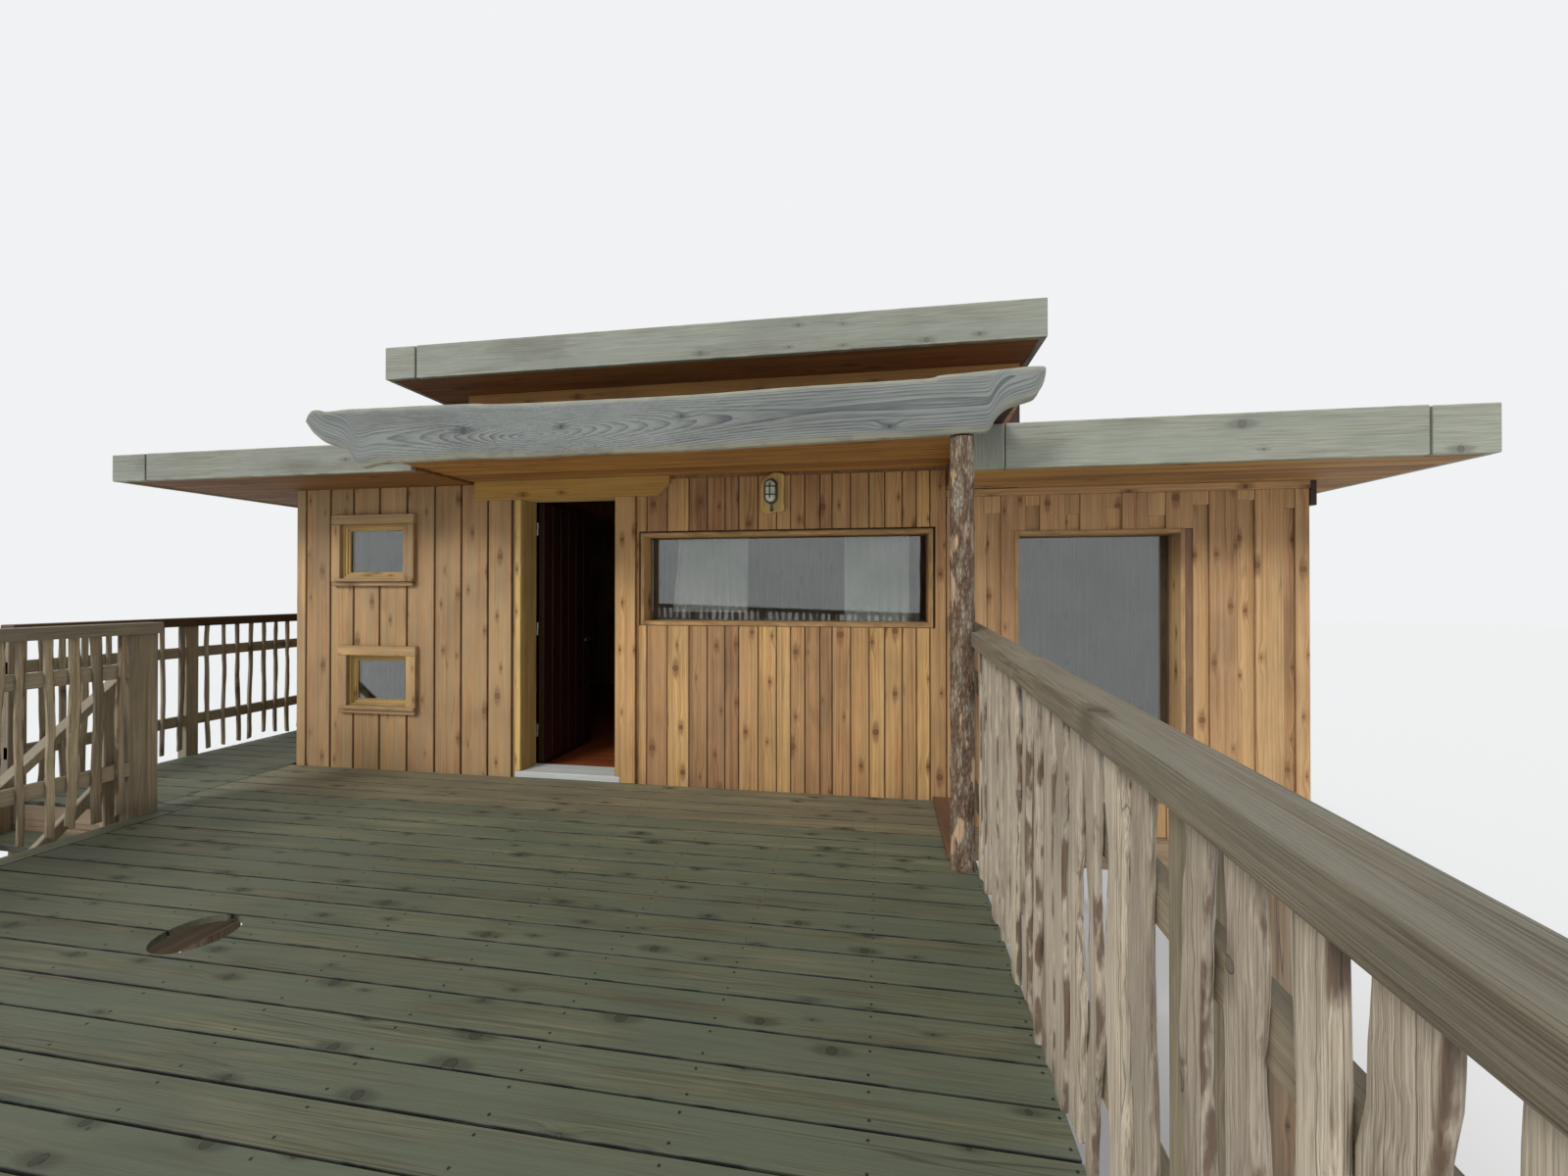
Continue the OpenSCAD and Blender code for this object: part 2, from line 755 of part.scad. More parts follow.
module window_glass() {
    color(glass_blue) on_deck() {
        for (w = [upper_window, lower_window]) pane(w, small_recess, small_lining_t + sash_w);
        for (w = [wide_window, picture_window]) pane(w, deep_recess, lining_t + bead_w);
    }
}

// Lamp

lamp_x = 3900;
lamp_h = 2075;
lamp_block_t = 40;
lamp_w = 92;
lamp_l = 174;

// An upright oval with straight sides
module oval(w, l) {
    union() {
        square([w, l - w], center = true);
        for (s = [-1, 1]) translate([0, s * (l - w) / 2]) circle(d = w);
    }
}

block_edge = [[-72, -120], [-54, -144], [-10, -151], [26, -140], [80, -136], [94, -114],
    [86, -70], [88, 10], [92, 100], [82, 120], [36, 133], [0, 124], [-48, 86], [-70, 50],
    [-74, -30], [-72, -120]];
module lamp_block() {
    color(new_wood) on_deck() translate([lamp_x, 0, lamp_h])
        upright(-lamp_block_t, 0) polygon(curve(block_edge, 3));
}

module wall_lamp() {
    y0 = -lamp_block_t;
    color(bronze) on_deck() translate([lamp_x, 0, lamp_h]) union() {
        upright(y0 - 22, y0) oval(lamp_w, lamp_l);
        upright(y0 - 58, y0 - 22) oval(lamp_w - 24, lamp_l - 24);
        upright(y0 - 30, y0 - 22) oval(lamp_w - 8, lamp_l - 8);
        block([-4, y0 - 66, -lamp_l / 2 + 8], [4, y0 - 22, lamp_l / 2 - 8]);
        for (z = [-28, 28]) block([-lamp_w / 2 + 4, y0 - 66, z - 4],
            [lamp_w / 2 - 4, y0 - 22, z + 4]);
        translate([0, y0 - 14, -lamp_l / 2 - 26]) cylinder(d = 20, h = 40);
    }
}

// Deck boards

// The deck comes in fields of boards. The boards beside the round hole end on the two joists
// next to it. The last field is the landing with the gallery behind it
hole_boards = 290;
hatch_x0 = deck_x0 + 3 * deck_step + joist_w / 2;
hatch_x1 = deck_x0 + 4 * deck_step + joist_w / 2;

module field(x0, y0, x1, y1) {
    polygon([[x0, y0], [x1, y0], [x1, y1], [x0, y1]]);
}

module deck_boards() {
    gap = seam / 2;
    near = -hole_y - hole_boards;
    far = -hole_y + hole_boards;
    color(deck_grey) on_deck() translate([0, 0, -board_t]) linear_extrude(board_t) {
        field(0, -passage + gap, deck_x1, -wall_gap);
        field(deck_x0, far + gap, deck_x1, -passage - gap);
        field(deck_x0, near + gap, hatch_x0 - gap, far - gap);
        field(hatch_x1 + gap, near + gap, deck_x1, far - gap);
        field(deck_x0, deck_y0, deck_x1, near - gap);
        difference() {
            union() {
                field(hatch_x0 + gap, near + gap, hatch_x1 - gap, -hole_y - gap);
                field(hatch_x0 + gap, -hole_y + gap, hatch_x1 - gap, far - gap);
            }
            translate([hole_x, -hole_y]) circle(r = hole_r);
        }
        polygon([[-gallery_w, -passage], [-seam, -passage], [-seam, -wall_gap],
            [-wall_gap, -wall_gap], [-wall_gap, cab_d], [-gallery_w, cab_d]]);
    }
}

module deck_edge_board() {
    color(floor_red) on_deck()
        block([deck_x1 - 145, -log_y + log_r + 20, 0], [deck_x1 - 30, -wall_gap, edge_board_t]);
}

// Railings. They are drawn along X with the deck on the -Y side

stick_nodes = 5;
housing = 2;

// Widths as [least, spread]: broad split sticks, narrow split sticks and thin poles
broad = [44, 46];
narrow = [28, 22];
poles = [24, 14];

// One split stick, wavy on both edges and often pointed at its foot
module stick(u, seed, top, widths) {
    foot = 8 + 46 * chance(seed);
    w = widths[0] + widths[1] * chance(seed + 1);
    lean = 34 * (chance(seed + 2) - 0.5);
    function side_at(k, s) = let (
        t = k / stick_nodes,
        bow = 16 * (chance(seed + 3) - 0.5) * sin(180 * t),
        half = w * (0.42 + 0.16 * chance(seed + 7 + k + 10 * s)))
        [u + lean * (t - 0.5) + bow + (s == 0 ? -half : half),
            foot + (top - foot) * t + (k == 0 ? 30 * chance(seed + 4 + s) : 0)];
    translate([0, housing, 0]) rotate([90, 0, 0]) linear_extrude(stick_t + housing)
        polygon(concat(
            [for (k = [0:stick_nodes]) side_at(k, 0)],
            [for (k = [stick_nodes:-1:0]) side_at(k, 1)]));
}

post_foot = -250;
// Whether a stick at u stands clear of the logs that pass through the railing
function clear_of(u, logs) = len([for (l = logs) if (abs(u - l) < log_r + 70) l]) == 0;

// Each stick's place and seed: the sticks are spread over every bay between two posts
function stick_places(posts, pitch, seed) = [for (k = [0:len(posts) - 2])
    let (a = posts[k][0] + posts[k][1], b = posts[k + 1][0], n = floor((b - a) / pitch))
    for (i = [0:n - 1])
        let (own = seed + 31 * (i + 20 * k))
        [a + (i + 0.5) * (b - a) / n + 22 * (chance(own) - 0.5), own]];

// Tilts the children about their start, so that they sink by fall over the length
module sinking(length, fall) {
    multmatrix([[1, 0, 0, 0], [0, 1, 0, 0], [-fall / length, 0, 1, 0], [0, 0, 0, 1]]) children();
}

// From hand0 to hand1 runs the handrail, over posts given as [start, width]
module railing(length, posts, seed, height, hand0, hand1, widths, pitch, fall = 0, logs = []) {
    under = height - hand_t;
    bar_high = bar_high_h + height - rail_h;
    bar_x1 = posts[len(posts) - 1][0] + 10;
    union() {
        intersection() {
            for (p = posts)
                block([p[0], 0, post_foot], [p[0] + p[1], post_w, height + abs(fall)]);
            sinking(length, fall)
                block([-1, -1, post_foot - abs(fall) - 1], [length + 1, post_w + 1, under]);
        }
        block([posts[0][0], 0, bar_low_h - bar_w / 2], [bar_x1, bar_t, bar_low_h + bar_w / 2]);
        for (p = stick_places(posts, pitch, seed)) {
            top = under + housing - fall * p[0] / length;
            if (clear_of(p[0], logs)) stick(p[0], p[1] + 1, top, widths);
        }
        sinking(length, fall) {
            block([posts[0][0], 0, bar_high - bar_w / 2], [bar_x1, bar_t, bar_high + bar_w / 2]);
            block([hand0, -hand_w * 0.375, under], [hand1, hand_w * 0.625, height]);
        }
    }
}

function even_posts(length, count, last) = concat(
    [for (i = [0:count - 2]) [i * (length - last) / (count - 1), post_w]],
    [[length - last, last]]);

right_rail_h = rail_h + right_rail_rise;
corner_rail_h = right_rail_h - right_rail_fall;

// The near handrail starts just under the falling end of the right one
near_rail_h = corner_rail_h - right_rail_fall * hand_w * 0.625 / -deck_y0
    - (rail_h - corner_rail_h) * hand_w * 0.375 / (deck_x1 - deck_x0) - clear;

// The handrail is notched round the log
module right_railing() {
    color(stick_grey) on_deck() difference() {
        translate([deck_x1, 0, 0]) rotate([0, 0, -90])
            railing(-deck_y0, concat([[wall_gap, post_w]],
                [for (i = [0:2]) [right_post_first + i * right_post_pitch, right_post_w]],
                [[-deck_y0 - post_w, post_w]]),
                100, right_rail_h, wall_gap, -deck_y0 + hand_w * 0.625, broad, stick_pitch,
                right_rail_fall, [log_y]);
        translate([log_x, -log_y, corner_rail_h - hand_t])
            cylinder(r = log_r + 8, h = right_rail_fall + hand_t + 10);
    }
}

module near_railing() {
    length = deck_x1 - deck_x0;
    color(stick_grey) on_deck() translate([deck_x1, deck_y0, 0]) rotate([0, 0, 180])
        railing(length, even_posts(length, 5, post_w), 4200, near_rail_h,
            hand_w * 0.375, length - hand_w * 0.375, broad, stick_pitch,
            near_rail_h - rail_h);
}

end_post_w = 150;
module left_railing() {
    length = -deck_y0 - passage;
    color(stick_grey) on_deck() translate([deck_x0, deck_y0, 0]) rotate([0, 0, 90])
        railing(length, even_posts(length, 5, end_post_w), 7700, rail_h,
            -hand_w * 0.625, length, narrow, narrow_pitch);
}

module gallery_railing() {
    length = cab_d + passage;
    color(stick_grey) on_deck() translate([-gallery_w, -passage, 0]) rotate([0, 0, 90])
        railing(length, even_posts(length, 6, post_w), 9100, gallery_rail_h,
            0, length + hand_w * 0.625, poles, pole_pitch);
}

module gallery_end_railing() {
    length = gallery_w - wall_gap;
    color(stick_grey) on_deck() translate([-gallery_w, cab_d, 0])
        railing(length, even_posts(length, 2, post_w), 12400, gallery_rail_h,
            hand_w * 0.375, length, poles, pole_pitch);
}

// Stair

riser = deck_h / risers;
slope = riser / going;
stringer_lip = 40;
stringer_under = 260;
foot_front = 110;

// The stair is drawn in Y and Z from the edge of the landing, then stood in place
module stair_profile(x0, x1) {
    place() translate([x0, -passage, 0]) rotate([90, 0, 90]) linear_extrude(x1 - x0) children();
}

module stringer_shape() {
    toe = -(deck_h + stringer_lip - foot_front) / slope;
    heel = -(deck_h - stringer_under) / slope;
    polygon([[0, deck_h], [-stringer_lip / slope, deck_h], [toe, foot_front], [toe, 0],
        [heel, 0], [0, deck_h - stringer_under]]);
}

module stair_stringers() {
    color(beam_brown) {
        stair_profile(-gallery_w, -gallery_w + stringer_t) stringer_shape();
        stair_profile(-stringer_t, 0) stringer_shape();
    }
}

tread_lap = 25;
module stair_treads() {
    color(deck_grey) place() for (k = [1:risers - 1])
        block([-gallery_w + stringer_t, -passage - k * going, deck_h - k * riser - tread_t],
            [-stringer_t, -passage - (k - 1) * going + (k > 1 ? tread_lap : 0),
                deck_h - k * riser]);
}

stair_post_t = 40;
stair_hand_h = 990;
stair_hand_t = 60;
mid_rail_drop = 480;
stair_post_steps = [1, 5, 9, 12];

// Posts on the outside of a stringer, a handrail over them and a rail between
module stair_side(x0, hand_x0, hand_x1) {
    function nose(k) = [-k * going, deck_h - k * riser];
    run = stair_post_steps[3];
    first = nose(0.4);
    last = nose(run + 0.2);
    union() {
        for (k = stair_post_steps)
            stair_profile(x0, x0 + stair_post_t)
                polygon([[nose(k).x - 10, nose(k).y - 200], [nose(k).x + 80, nose(k).y - 200],
                    [nose(k).x + 80, nose(k).y + 80 * slope + stair_hand_h - 20],
                    [nose(k).x - 10, nose(k).y - 10 * slope + stair_hand_h - 20]]);
        stair_profile(hand_x0, hand_x1)
            polygon([first + [0, stair_hand_h - stair_hand_t], first + [0, stair_hand_h],
                last + [0, stair_hand_h], last + [0, stair_hand_h - stair_hand_t]]);
        stair_profile(x0, x0 + stair_post_t)
            polygon([first + [0, mid_rail_drop - 90], first + [0, mid_rail_drop],
                last + [0, mid_rail_drop], last + [0, mid_rail_drop - 90]]);
    }
}

module stair_railings() {
    color(stick_grey) {
        stair_side(-gallery_w - stair_post_t, -gallery_w - stair_post_t, -gallery_w + stringer_t);
        stair_side(0, -stringer_t, stair_post_t);
    }
}

stilts();
knee_braces();
beams();
joists();
cabin_floor();
front_wall_left();
front_wall_over_door();
front_wall_centre();
front_wall_right();
left_wall();
right_wall();
back_wall();
clerestory();
left_roof();
right_roof();
upper_roof();
left_fascia();
right_fascia();
upper_fascia();
canopy_roof();
waney_fascia();
log_post();
lintel_board();
door_frame();
threshold();
door_leaf();
door_handle();
frame_hinges();
leaf_hinges();
small_window_frames();
wide_window_frame();
picture_window_frame();
window_glass();
wall_lamp();
lamp_block();
deck_boards();
deck_edge_board();
right_railing();
near_railing();
left_railing();
gallery_railing();
gallery_end_railing();
stair_stringers();
stair_treads();
stair_railings();
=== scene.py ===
# %% [markdown]
# # A timber cabin on stilts, with its terrace
#
# The CAD model gives this cabin its sizes. This lesson gives it its looks: sawn boards with open
# joints, a canopy edged with a slab that still has its live edge, a log with its bark on, and
# railings of split sticks. Each code cell makes one piece or one finish, and the cell before it
# says what that is on the real cabin and how it is made here.

# %% The frame
import math
import random
from contextlib import contextmanager
from functools import partialmethod

import bpy
import numpy as np
from mathutils import Matrix, Vector, noise


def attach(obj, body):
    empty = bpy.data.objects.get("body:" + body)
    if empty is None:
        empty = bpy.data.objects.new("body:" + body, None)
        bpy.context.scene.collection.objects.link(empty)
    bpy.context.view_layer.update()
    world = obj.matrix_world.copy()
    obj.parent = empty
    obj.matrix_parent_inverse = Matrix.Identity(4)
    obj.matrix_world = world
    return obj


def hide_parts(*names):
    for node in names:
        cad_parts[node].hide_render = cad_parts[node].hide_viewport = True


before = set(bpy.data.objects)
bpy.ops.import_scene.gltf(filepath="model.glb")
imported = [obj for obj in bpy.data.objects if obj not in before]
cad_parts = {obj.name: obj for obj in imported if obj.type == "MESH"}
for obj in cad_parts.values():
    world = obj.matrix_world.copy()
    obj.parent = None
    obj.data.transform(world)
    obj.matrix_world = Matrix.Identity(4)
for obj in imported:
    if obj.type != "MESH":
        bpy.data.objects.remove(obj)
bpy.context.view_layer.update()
print("CAD nodes:", len(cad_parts))

# %% [markdown]
# ## Places
#
# A builder measures from the front wall, so pieces are drawn that way too: X along the wall from
# its left corner, Y back from its face, and Z above the walking surface of the deck, in metres.
# The matrix below carries a finished piece from there to the shared frame.

# %% Places
TO_FRAME = Matrix.Translation((-3.220, 0.400, 2.600))
SOFFIT_LEFT, SOFFIT_RIGHT, SOFFIT_CANOPY, SOFFIT_TOP = 2.195, 2.060, 2.215, 2.870
SILL_Z, LINING_Z = -0.173, 0.021
CAB_W, CAB_D, WALL_T = 7.220, 4.200, 0.180
BAY_LEFT, BAY_RIGHT, TOP_RIGHT = 1.580, 5.080, 5.524
DOOR_LEFT, DOOR_RIGHT, DOOR_TOP = 1.955, 2.785, 2.120
DECK_RIGHT, DECK_DEPTH, GALLERY_LEFT = 5.130, 5.570, -1.100

# %% [markdown]
# ## Camera, floor and light
#
# The picture is taken on the terrace with a very wide lens, a little left of square to the wall.
# The floor and the sky are pale and plain. One broad sun from the front left and an even sky keep
# the colours as they are written, and a soft light from the deck fills the undersides of the
# roofs, as a sunlit deck does.


# %% Camera
def linked(name, data):
    """A new object in the scene, with this mesh, camera or light."""
    obj = bpy.data.objects.new(name, data)
    bpy.context.collection.objects.link(obj)
    return obj


camera_data = bpy.data.cameras.new("terrace view")
camera_data.lens, camera_data.sensor_width, camera_data.clip_start = 13.5, 36.0, 0.05
camera = linked("terrace view", camera_data)
camera.location = TO_FRAME @ Vector((4.645, -4.040, 1.386))
camera.rotation_euler = (math.radians(90.3), 0, math.radians(9.3))
bpy.context.scene.camera = camera
bpy.context.scene.view_settings.view_transform = "Standard"


# %% Shader values
class Value:
    """An output of a shader node. A sum that is written with it adds the nodes that work it out,
    and brackets take another output of the same node."""

    def __init__(self, node, key=0):
        self.node, self.key, self.tree = node, key, node.id_data

    def __getitem__(self, key):
        return Value(self.node, key)

    def calc(self, operation, *others, **settings):
        numbers = dict(enumerate((self, *others)))
        return put(self.tree, "Math", numbers, operation=operation, **settings)

    __add__, __sub__ = partialmethod(calc, "ADD"), partialmethod(calc, "SUBTRACT")
    __mul__, __truediv__ = partialmethod(calc, "MULTIPLY"), partialmethod(calc, "DIVIDE")
    __pow__ = partialmethod(calc, "POWER")


def feed(node, inputs):
    """Sets a node's inputs, or links them to the values that drive them."""
    for key, value in inputs.items():
        if isinstance(value, Value):
            node.id_data.links.new(value.node.outputs[value.key], node.inputs[key])
        else:
            node.inputs[key].default_value = value


def put(tree, kind, inputs=None, **settings):
    """Adds a shader node, with its settings first and then its inputs."""
    node = tree.nodes.new("ShaderNode" + kind)
    for key, value in settings.items():
        setattr(node, key, value)
    feed(node, inputs or {})
    return Value(node)


def ramp(value, low, high, first=0.0, last=1.0):
    """A number that turns smoothly from first, where value is low, to last, where it is high."""
    ends = {"Value": value, "From Min": low, "From Max": high, "To Min": first, "To Max": last}
    return put(value.tree, "MapRange", ends, interpolation_type="SMOOTHSTEP")


def blend(tree, factor, first, second):
    return put(tree, "Mix", {0: factor, 6: first, 7: second}, data_type="RGBA")[2]


def paint(code):
    """A colour written as on a paint chart, such as 8c7c68, in the linear numbers of a shader."""
    parts = [int(code[i : i + 2], 16) / 255 for i in (0, 2, 4)]
    return [p / 12.92 if p < 0.04045 else ((p + 0.055) / 1.055) ** 2.4 for p in parts] + [1.0]


def new_material(name):
    material = bpy.data.materials.new(name)
    material.use_nodes = True
    return material, material.node_tree, material.node_tree.nodes["Principled BSDF"]


# %% Floor, sky and sun
world = bpy.data.worlds.new("pale sky")
bpy.context.scene.world = world
world.use_nodes = True
sky = world.node_tree
sky.nodes.clear()
ray = put(sky, "LightPath")
seen = ray["Is Camera Ray"].calc("MAXIMUM", ray["Is Glossy Ray"])
seen = seen.calc("MAXIMUM", ray["Is Transmission Ray"])
sky_colour = blend(sky, seen, (0.74, 0.76, 0.78, 1), (0.88, 0.89, 0.90, 1))
sky_light = put(sky, "Background", {"Color": sky_colour, "Strength": 1.0})
put(sky, "OutputWorld", {"Surface": sky_light})

sun_data = bpy.data.lights.new("broad sun", "SUN")
sun_data.energy, sun_data.angle = 2.0, math.radians(20)
sun = linked("broad sun", sun_data)
sun.rotation_euler = Vector((-0.42, -0.80, 0.60)).to_track_quat("Z", "Y").to_euler()

bounce_data = bpy.data.lights.new("bounce", "AREA")
bounce_data.shape, bounce_data.size, bounce_data.size_y = "RECTANGLE", 4.6, 4.4
bounce_data.energy = 55
bounce = linked("bounce", bounce_data)
bounce.location = TO_FRAME @ Vector((2.70, -2.75, 0.03))
bounce.rotation_euler = (math.pi, 0, 0)
bounce.visible_camera = bounce.visible_glossy = bounce.visible_transmission = False

bpy.ops.mesh.primitive_plane_add(size=160)
floor = bpy.context.object
floor.name = "floor"
pale, _, pale_surface = new_material("pale floor")
feed(pale_surface, {"Base Color": (0.78, 0.78, 0.77, 1), "Roughness": 0.9})
floor.data.materials.append(pale)

# %% [markdown]
# ## Reading and moving points
#
# Blender's operators act on what is selected, so each step starts with one object alone. Points
# are read and written all at once as an array, which stays quick with hundreds of boards.


# %% Points
def alone(obj):
    bpy.ops.object.select_all(action="DESELECT")
    obj.select_set(True)
    bpy.context.view_layer.objects.active = obj


def started(primitive, **sizes):
    """A new object from one of Blender's primitives."""
    bpy.ops.object.select_all(action="DESELECT")
    primitive(**sizes)
    return bpy.context.object


@contextmanager
def edit_mode():
    """Edit mode of the active object, with everything selected."""
    bpy.ops.object.mode_set(mode="EDIT")
    bpy.ops.mesh.select_all(action="SELECT")
    yield
    bpy.ops.object.mode_set(mode="OBJECT")


def extrude(*way):
    bpy.ops.mesh.extrude_region_move(TRANSFORM_OT_translate={"value": way})


def faces_out():
    bpy.ops.mesh.select_all(action="SELECT")
    bpy.ops.mesh.normals_make_consistent(inside=False)


def as_blank(obj):
    """An object's mesh, to be copied, without the object."""
    mesh = obj.data
    bpy.data.objects.remove(obj)
    return mesh


def read(mesh):
    co = np.empty(len(mesh.vertices) * 3, np.float32)
    mesh.vertices.foreach_get("co", co)
    return co.reshape(-1, 3).astype(float)


def write(mesh, *co):
    """Moves the points to an array of places, or to arrays of x, y and z."""
    co = np.column_stack(co) if len(co) == 3 else co[0]
    mesh.vertices.foreach_set("co", np.asarray(co, np.float32).ravel())
    mesh.update()


def store(mesh, name, *values):
    """Keeps three numbers for each point under a name."""
    layer = mesh.attributes.get(name) or mesh.attributes.new(name, "FLOAT_VECTOR", "POINT")
    layer.data.foreach_set("vector", np.column_stack(values).astype(np.float32).ravel())


def noise_at(places):
    return np.array([noise.noise(Vector(place)) for place in places])


# %% [markdown]
# ## Each board has its own grain
#
# Two boards of one wall come from two trees, so a pattern that runs on from board to board looks
# like printed paper. Each board therefore carries its own coordinates: how far a point is across,
# through and along the board, from a starting place that the dice choose. The middle of the tree
# lies a few centimetres from the board, so the rings run in long flat curves. Next to it the board
# keeps its tone and how far a point is from its long edges, where the rim colour goes: dirt in the
# joints, and painted shade on the sides that face into the gaps.

# %% Grain
dice = random.Random(23)


def grain(obj, along=None, tone=None):
    """Gives a board its own coordinates. The grain runs along its longest side if none is named."""
    co = read(obj.data)
    low, high = co.min(0), co.max(0)
    size, centre = high - low, (high + low) / 2
    along = int(size.argmax()) if along is None else along
    wide, thin = sorted((a for a in range(3) if a != along), key=lambda a: -size[a])
    local = (co - centre)[:, [wide, thin, along]]
    turn, off = dice.uniform(0, 6.28), dice.uniform(0.03, 0.12)
    start = [math.cos(turn) * off, math.sin(turn) * off, dice.uniform(0, 300)]
    tone = dice.random() if tone is None else tone
    ones = np.ones(len(co))
    store(obj.data, "grain", *(local + start).T)
    store(obj.data, "board", ones * tone, local[:, 0], ones * size[wide] / 2)
    return obj


# %% [markdown]
# ## Boards
#
# A sawn board has slightly broken edges. One short block is bevelled by hand, and every board is a
# copy of it whose two halves are moved apart, so a long board keeps the same small bevel. Where a
# window or the round hole goes through, the board is cut with a boolean, as with a saw.

# %% Boards
BLANK = 0.2


def board_blank(chamfer, segments=1):
    block = started(bpy.ops.mesh.primitive_cube_add, size=BLANK)
    with edit_mode():
        bpy.ops.mesh.bevel(offset=chamfer, segments=segments, affect="EDGES")
    return as_blank(block)


fine, worn = board_blank(0.0025), board_blank(0.006, 2)


def plank(low, high, along=None, blank=fine, cutters=(), tone=None):
    """A board between its lowest and highest corner, cut by the cutters that it meets."""
    low, high = np.array(low, float), np.array(high, float)
    board = linked("board", blank.copy())
    co = read(board.data)
    write(board.data, co + np.sign(co) * (high - low - BLANK) / 2 + (low + high) / 2)
    for cutter in cutters:
        there = read(cutter.data)
        if (there.max(0) > low).all() and (there.min(0) < high).all():
            alone(board)
            saw = board.modifiers.new("cut", "BOOLEAN")
            saw.object, saw.solver = cutter, "EXACT"
            bpy.ops.object.modifier_apply(modifier=saw.name)
    return grain(board, along, tone)


def box_cutter(low, high):
    cutter = started(bpy.ops.mesh.primitive_cube_add, size=1)
    low, high = np.array(low), np.array(high)
    write(cutter.data, read(cutter.data) * (high - low) + (low + high) / 2)
    return cutter


def discard(*cutters):
    for cutter in cutters:
        bpy.data.objects.remove(cutter)


def round_cutter(place, radius, sides):
    cutter = started(bpy.ops.mesh.primitive_cylinder_add, vertices=sides, radius=radius, depth=0.5)
    cutter.data.transform(Matrix.Translation(place))
    return cutter


# %% [markdown]
# ## Putting parts together
#
# The boards of one wall are joined into one piece, moved to the shared frame, given their finish
# and named. The piece rides on the cabin or on the door, and stands for the plain CAD solid. A
# timber whose CAD shape is right already is a copy of it with broken edges.


# %% Assembly
def assemble(name, parts, finish, slot, stands_for=(), turn=None, placed=False, body="house",
             smooth=None):
    bpy.ops.object.select_all(action="DESELECT")
    for part in parts:
        part.select_set(True)
    piece = bpy.context.view_layer.objects.active = parts[0]
    if len(parts) > 1:
        bpy.ops.object.join()
    if not placed:
        piece.data.transform(TO_FRAME @ (turn or Matrix.Identity(4)))
    piece.name = piece.data.name = name
    piece.data.materials.clear()
    piece.data.materials.append(finish)
    if smooth:
        alone(piece)
        bpy.ops.object.shade_smooth_by_angle(angle=math.radians(smooth))
    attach(piece, body)
    if stands_for:
        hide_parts(*stands_for)
    print(name, len(piece.data.polygons), "faces")
    return piece


def dressed(node, chamfer, segments=1, along=None):
    """The parts of a CAD node, copied, with doubles merged and edges broken."""
    copy = linked(node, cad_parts[node].data.copy())
    alone(copy)
    with edit_mode():
        bpy.ops.mesh.remove_doubles(threshold=0.00002)
        bpy.ops.mesh.dissolve_limited(angle_limit=math.radians(2))
    plane = copy.modifiers.new("broken edges", "BEVEL")
    plane.width, plane.segments, plane.angle_limit = chamfer, segments, math.radians(40)
    bpy.ops.object.modifier_apply(modifier=plane.name)
    with edit_mode():
        bpy.ops.mesh.separate(type="LOOSE")
    return [grain(part, along) for part in list(bpy.context.selected_objects)]


def dress(name, node, finish, slot, *dressing, **more):
    """A piece with the CAD shape of its node."""
    return assemble(name, dressed(node, *dressing), finish, slot, [node], placed=True, **more)


# %% [markdown]
# ## Wood
#
# Sawn wood shows rings, fibres, streaks of tone, and knots that push the rings aside. Old wood adds
# cracks along the fibres and a grey skin, most of all on faces that look up. All of that goes into
# one shader group, which reads the coordinates of each board, so that a finish is only a choice of
# colours and amounts.

# %% The wood group
wood = bpy.data.node_groups.new("sawn wood", "ShaderNodeTree")
AMOUNTS = dict(rings=0.35, streaks=0.8, fibres=0.35, knots=0.35, cracks=0.3, spread=0.35,
               weather=0.3, edge=0.3, width=0.005, lines=1.0, ragged=0.4, tone=0.5, half=1.0)
for way, kind, names in (("INPUT", "Vector", "grain"), ("INPUT", "Float", " ".join(AMOUNTS)),
                         ("INPUT", "Float", "across"), ("INPUT", "Color", "light dark deep"),
                         ("INPUT", "Color", "grey rim"), ("OUTPUT", "Color", "color"),
                         ("OUTPUT", "Float", "height")):
    for name in names.split():
        wood.interface.new_socket(name=name, in_out=way, socket_type="NodeSocket" + kind)
given = Value(wood.nodes.new("NodeGroupInput"))


def scaled(vector, factors):
    return put(vector.tree, "VectorMath", {0: vector, 1: factors}, operation="MULTIPLY")


def noisy(vector, factors, detail=3.0):
    inputs = {"Vector": scaled(vector, factors), "Scale": 1.0, "Detail": detail}
    return put(vector.tree, "TexNoise", inputs)


# %% [markdown]
# A knot is a branch that the saw cut through, so it runs from face to face. The board's face is
# divided into cells of about 13 by 36 cm. Each cell has one place for a knot, and its own dice say
# whether there is one and how thick the branch was.

# %% Knots
CELLS_ACROSS, CELLS_ALONG = 7.5, 2.8
flat = put(wood, "SeparateXYZ", {0: given["grain"]})
face = put(wood, "CombineXYZ", {0: flat[0] * CELLS_ACROSS, 1: flat[2] * CELLS_ALONG})
cell = put(wood, "TexVoronoi", {"Vector": face, "Scale": 1.0, "Randomness": 0.75},
           voronoi_dimensions="2D")
away = put(wood, "VectorMath", {0: face, 1: cell["Position"]}, operation="SUBTRACT")
throw = put(wood, "SeparateColor", {0: cell["Color"]})
there = throw[0].calc("LESS_THAN", given["knots"])
radius = throw[1] ** 1.5 * 0.017 + 0.004


def distance(stretch):
    """Metres from the middle of the knot, which is drawn out along the board by the stretch."""
    metres = scaled(away, (1 / CELLS_ACROSS, 1 / stretch / CELLS_ALONG, 0))
    return put(wood, "VectorMath", {0: metres}, operation="LENGTH")["Value"]


near, drawn = distance(1), distance(1 / 0.35)
core = there * ramp(near - radius, -0.001, 0.001, 1.0, 0.0)
lip = there * ramp((near - radius).calc("ABSOLUTE"), 0.0, 0.0022, 1.0, 0.0)
halo = there * ramp(drawn - radius, -0.004, 0.016, 0.65, 0.0)
push = there * ramp(drawn, 0.0, 0.045, 0.022, 0.0)

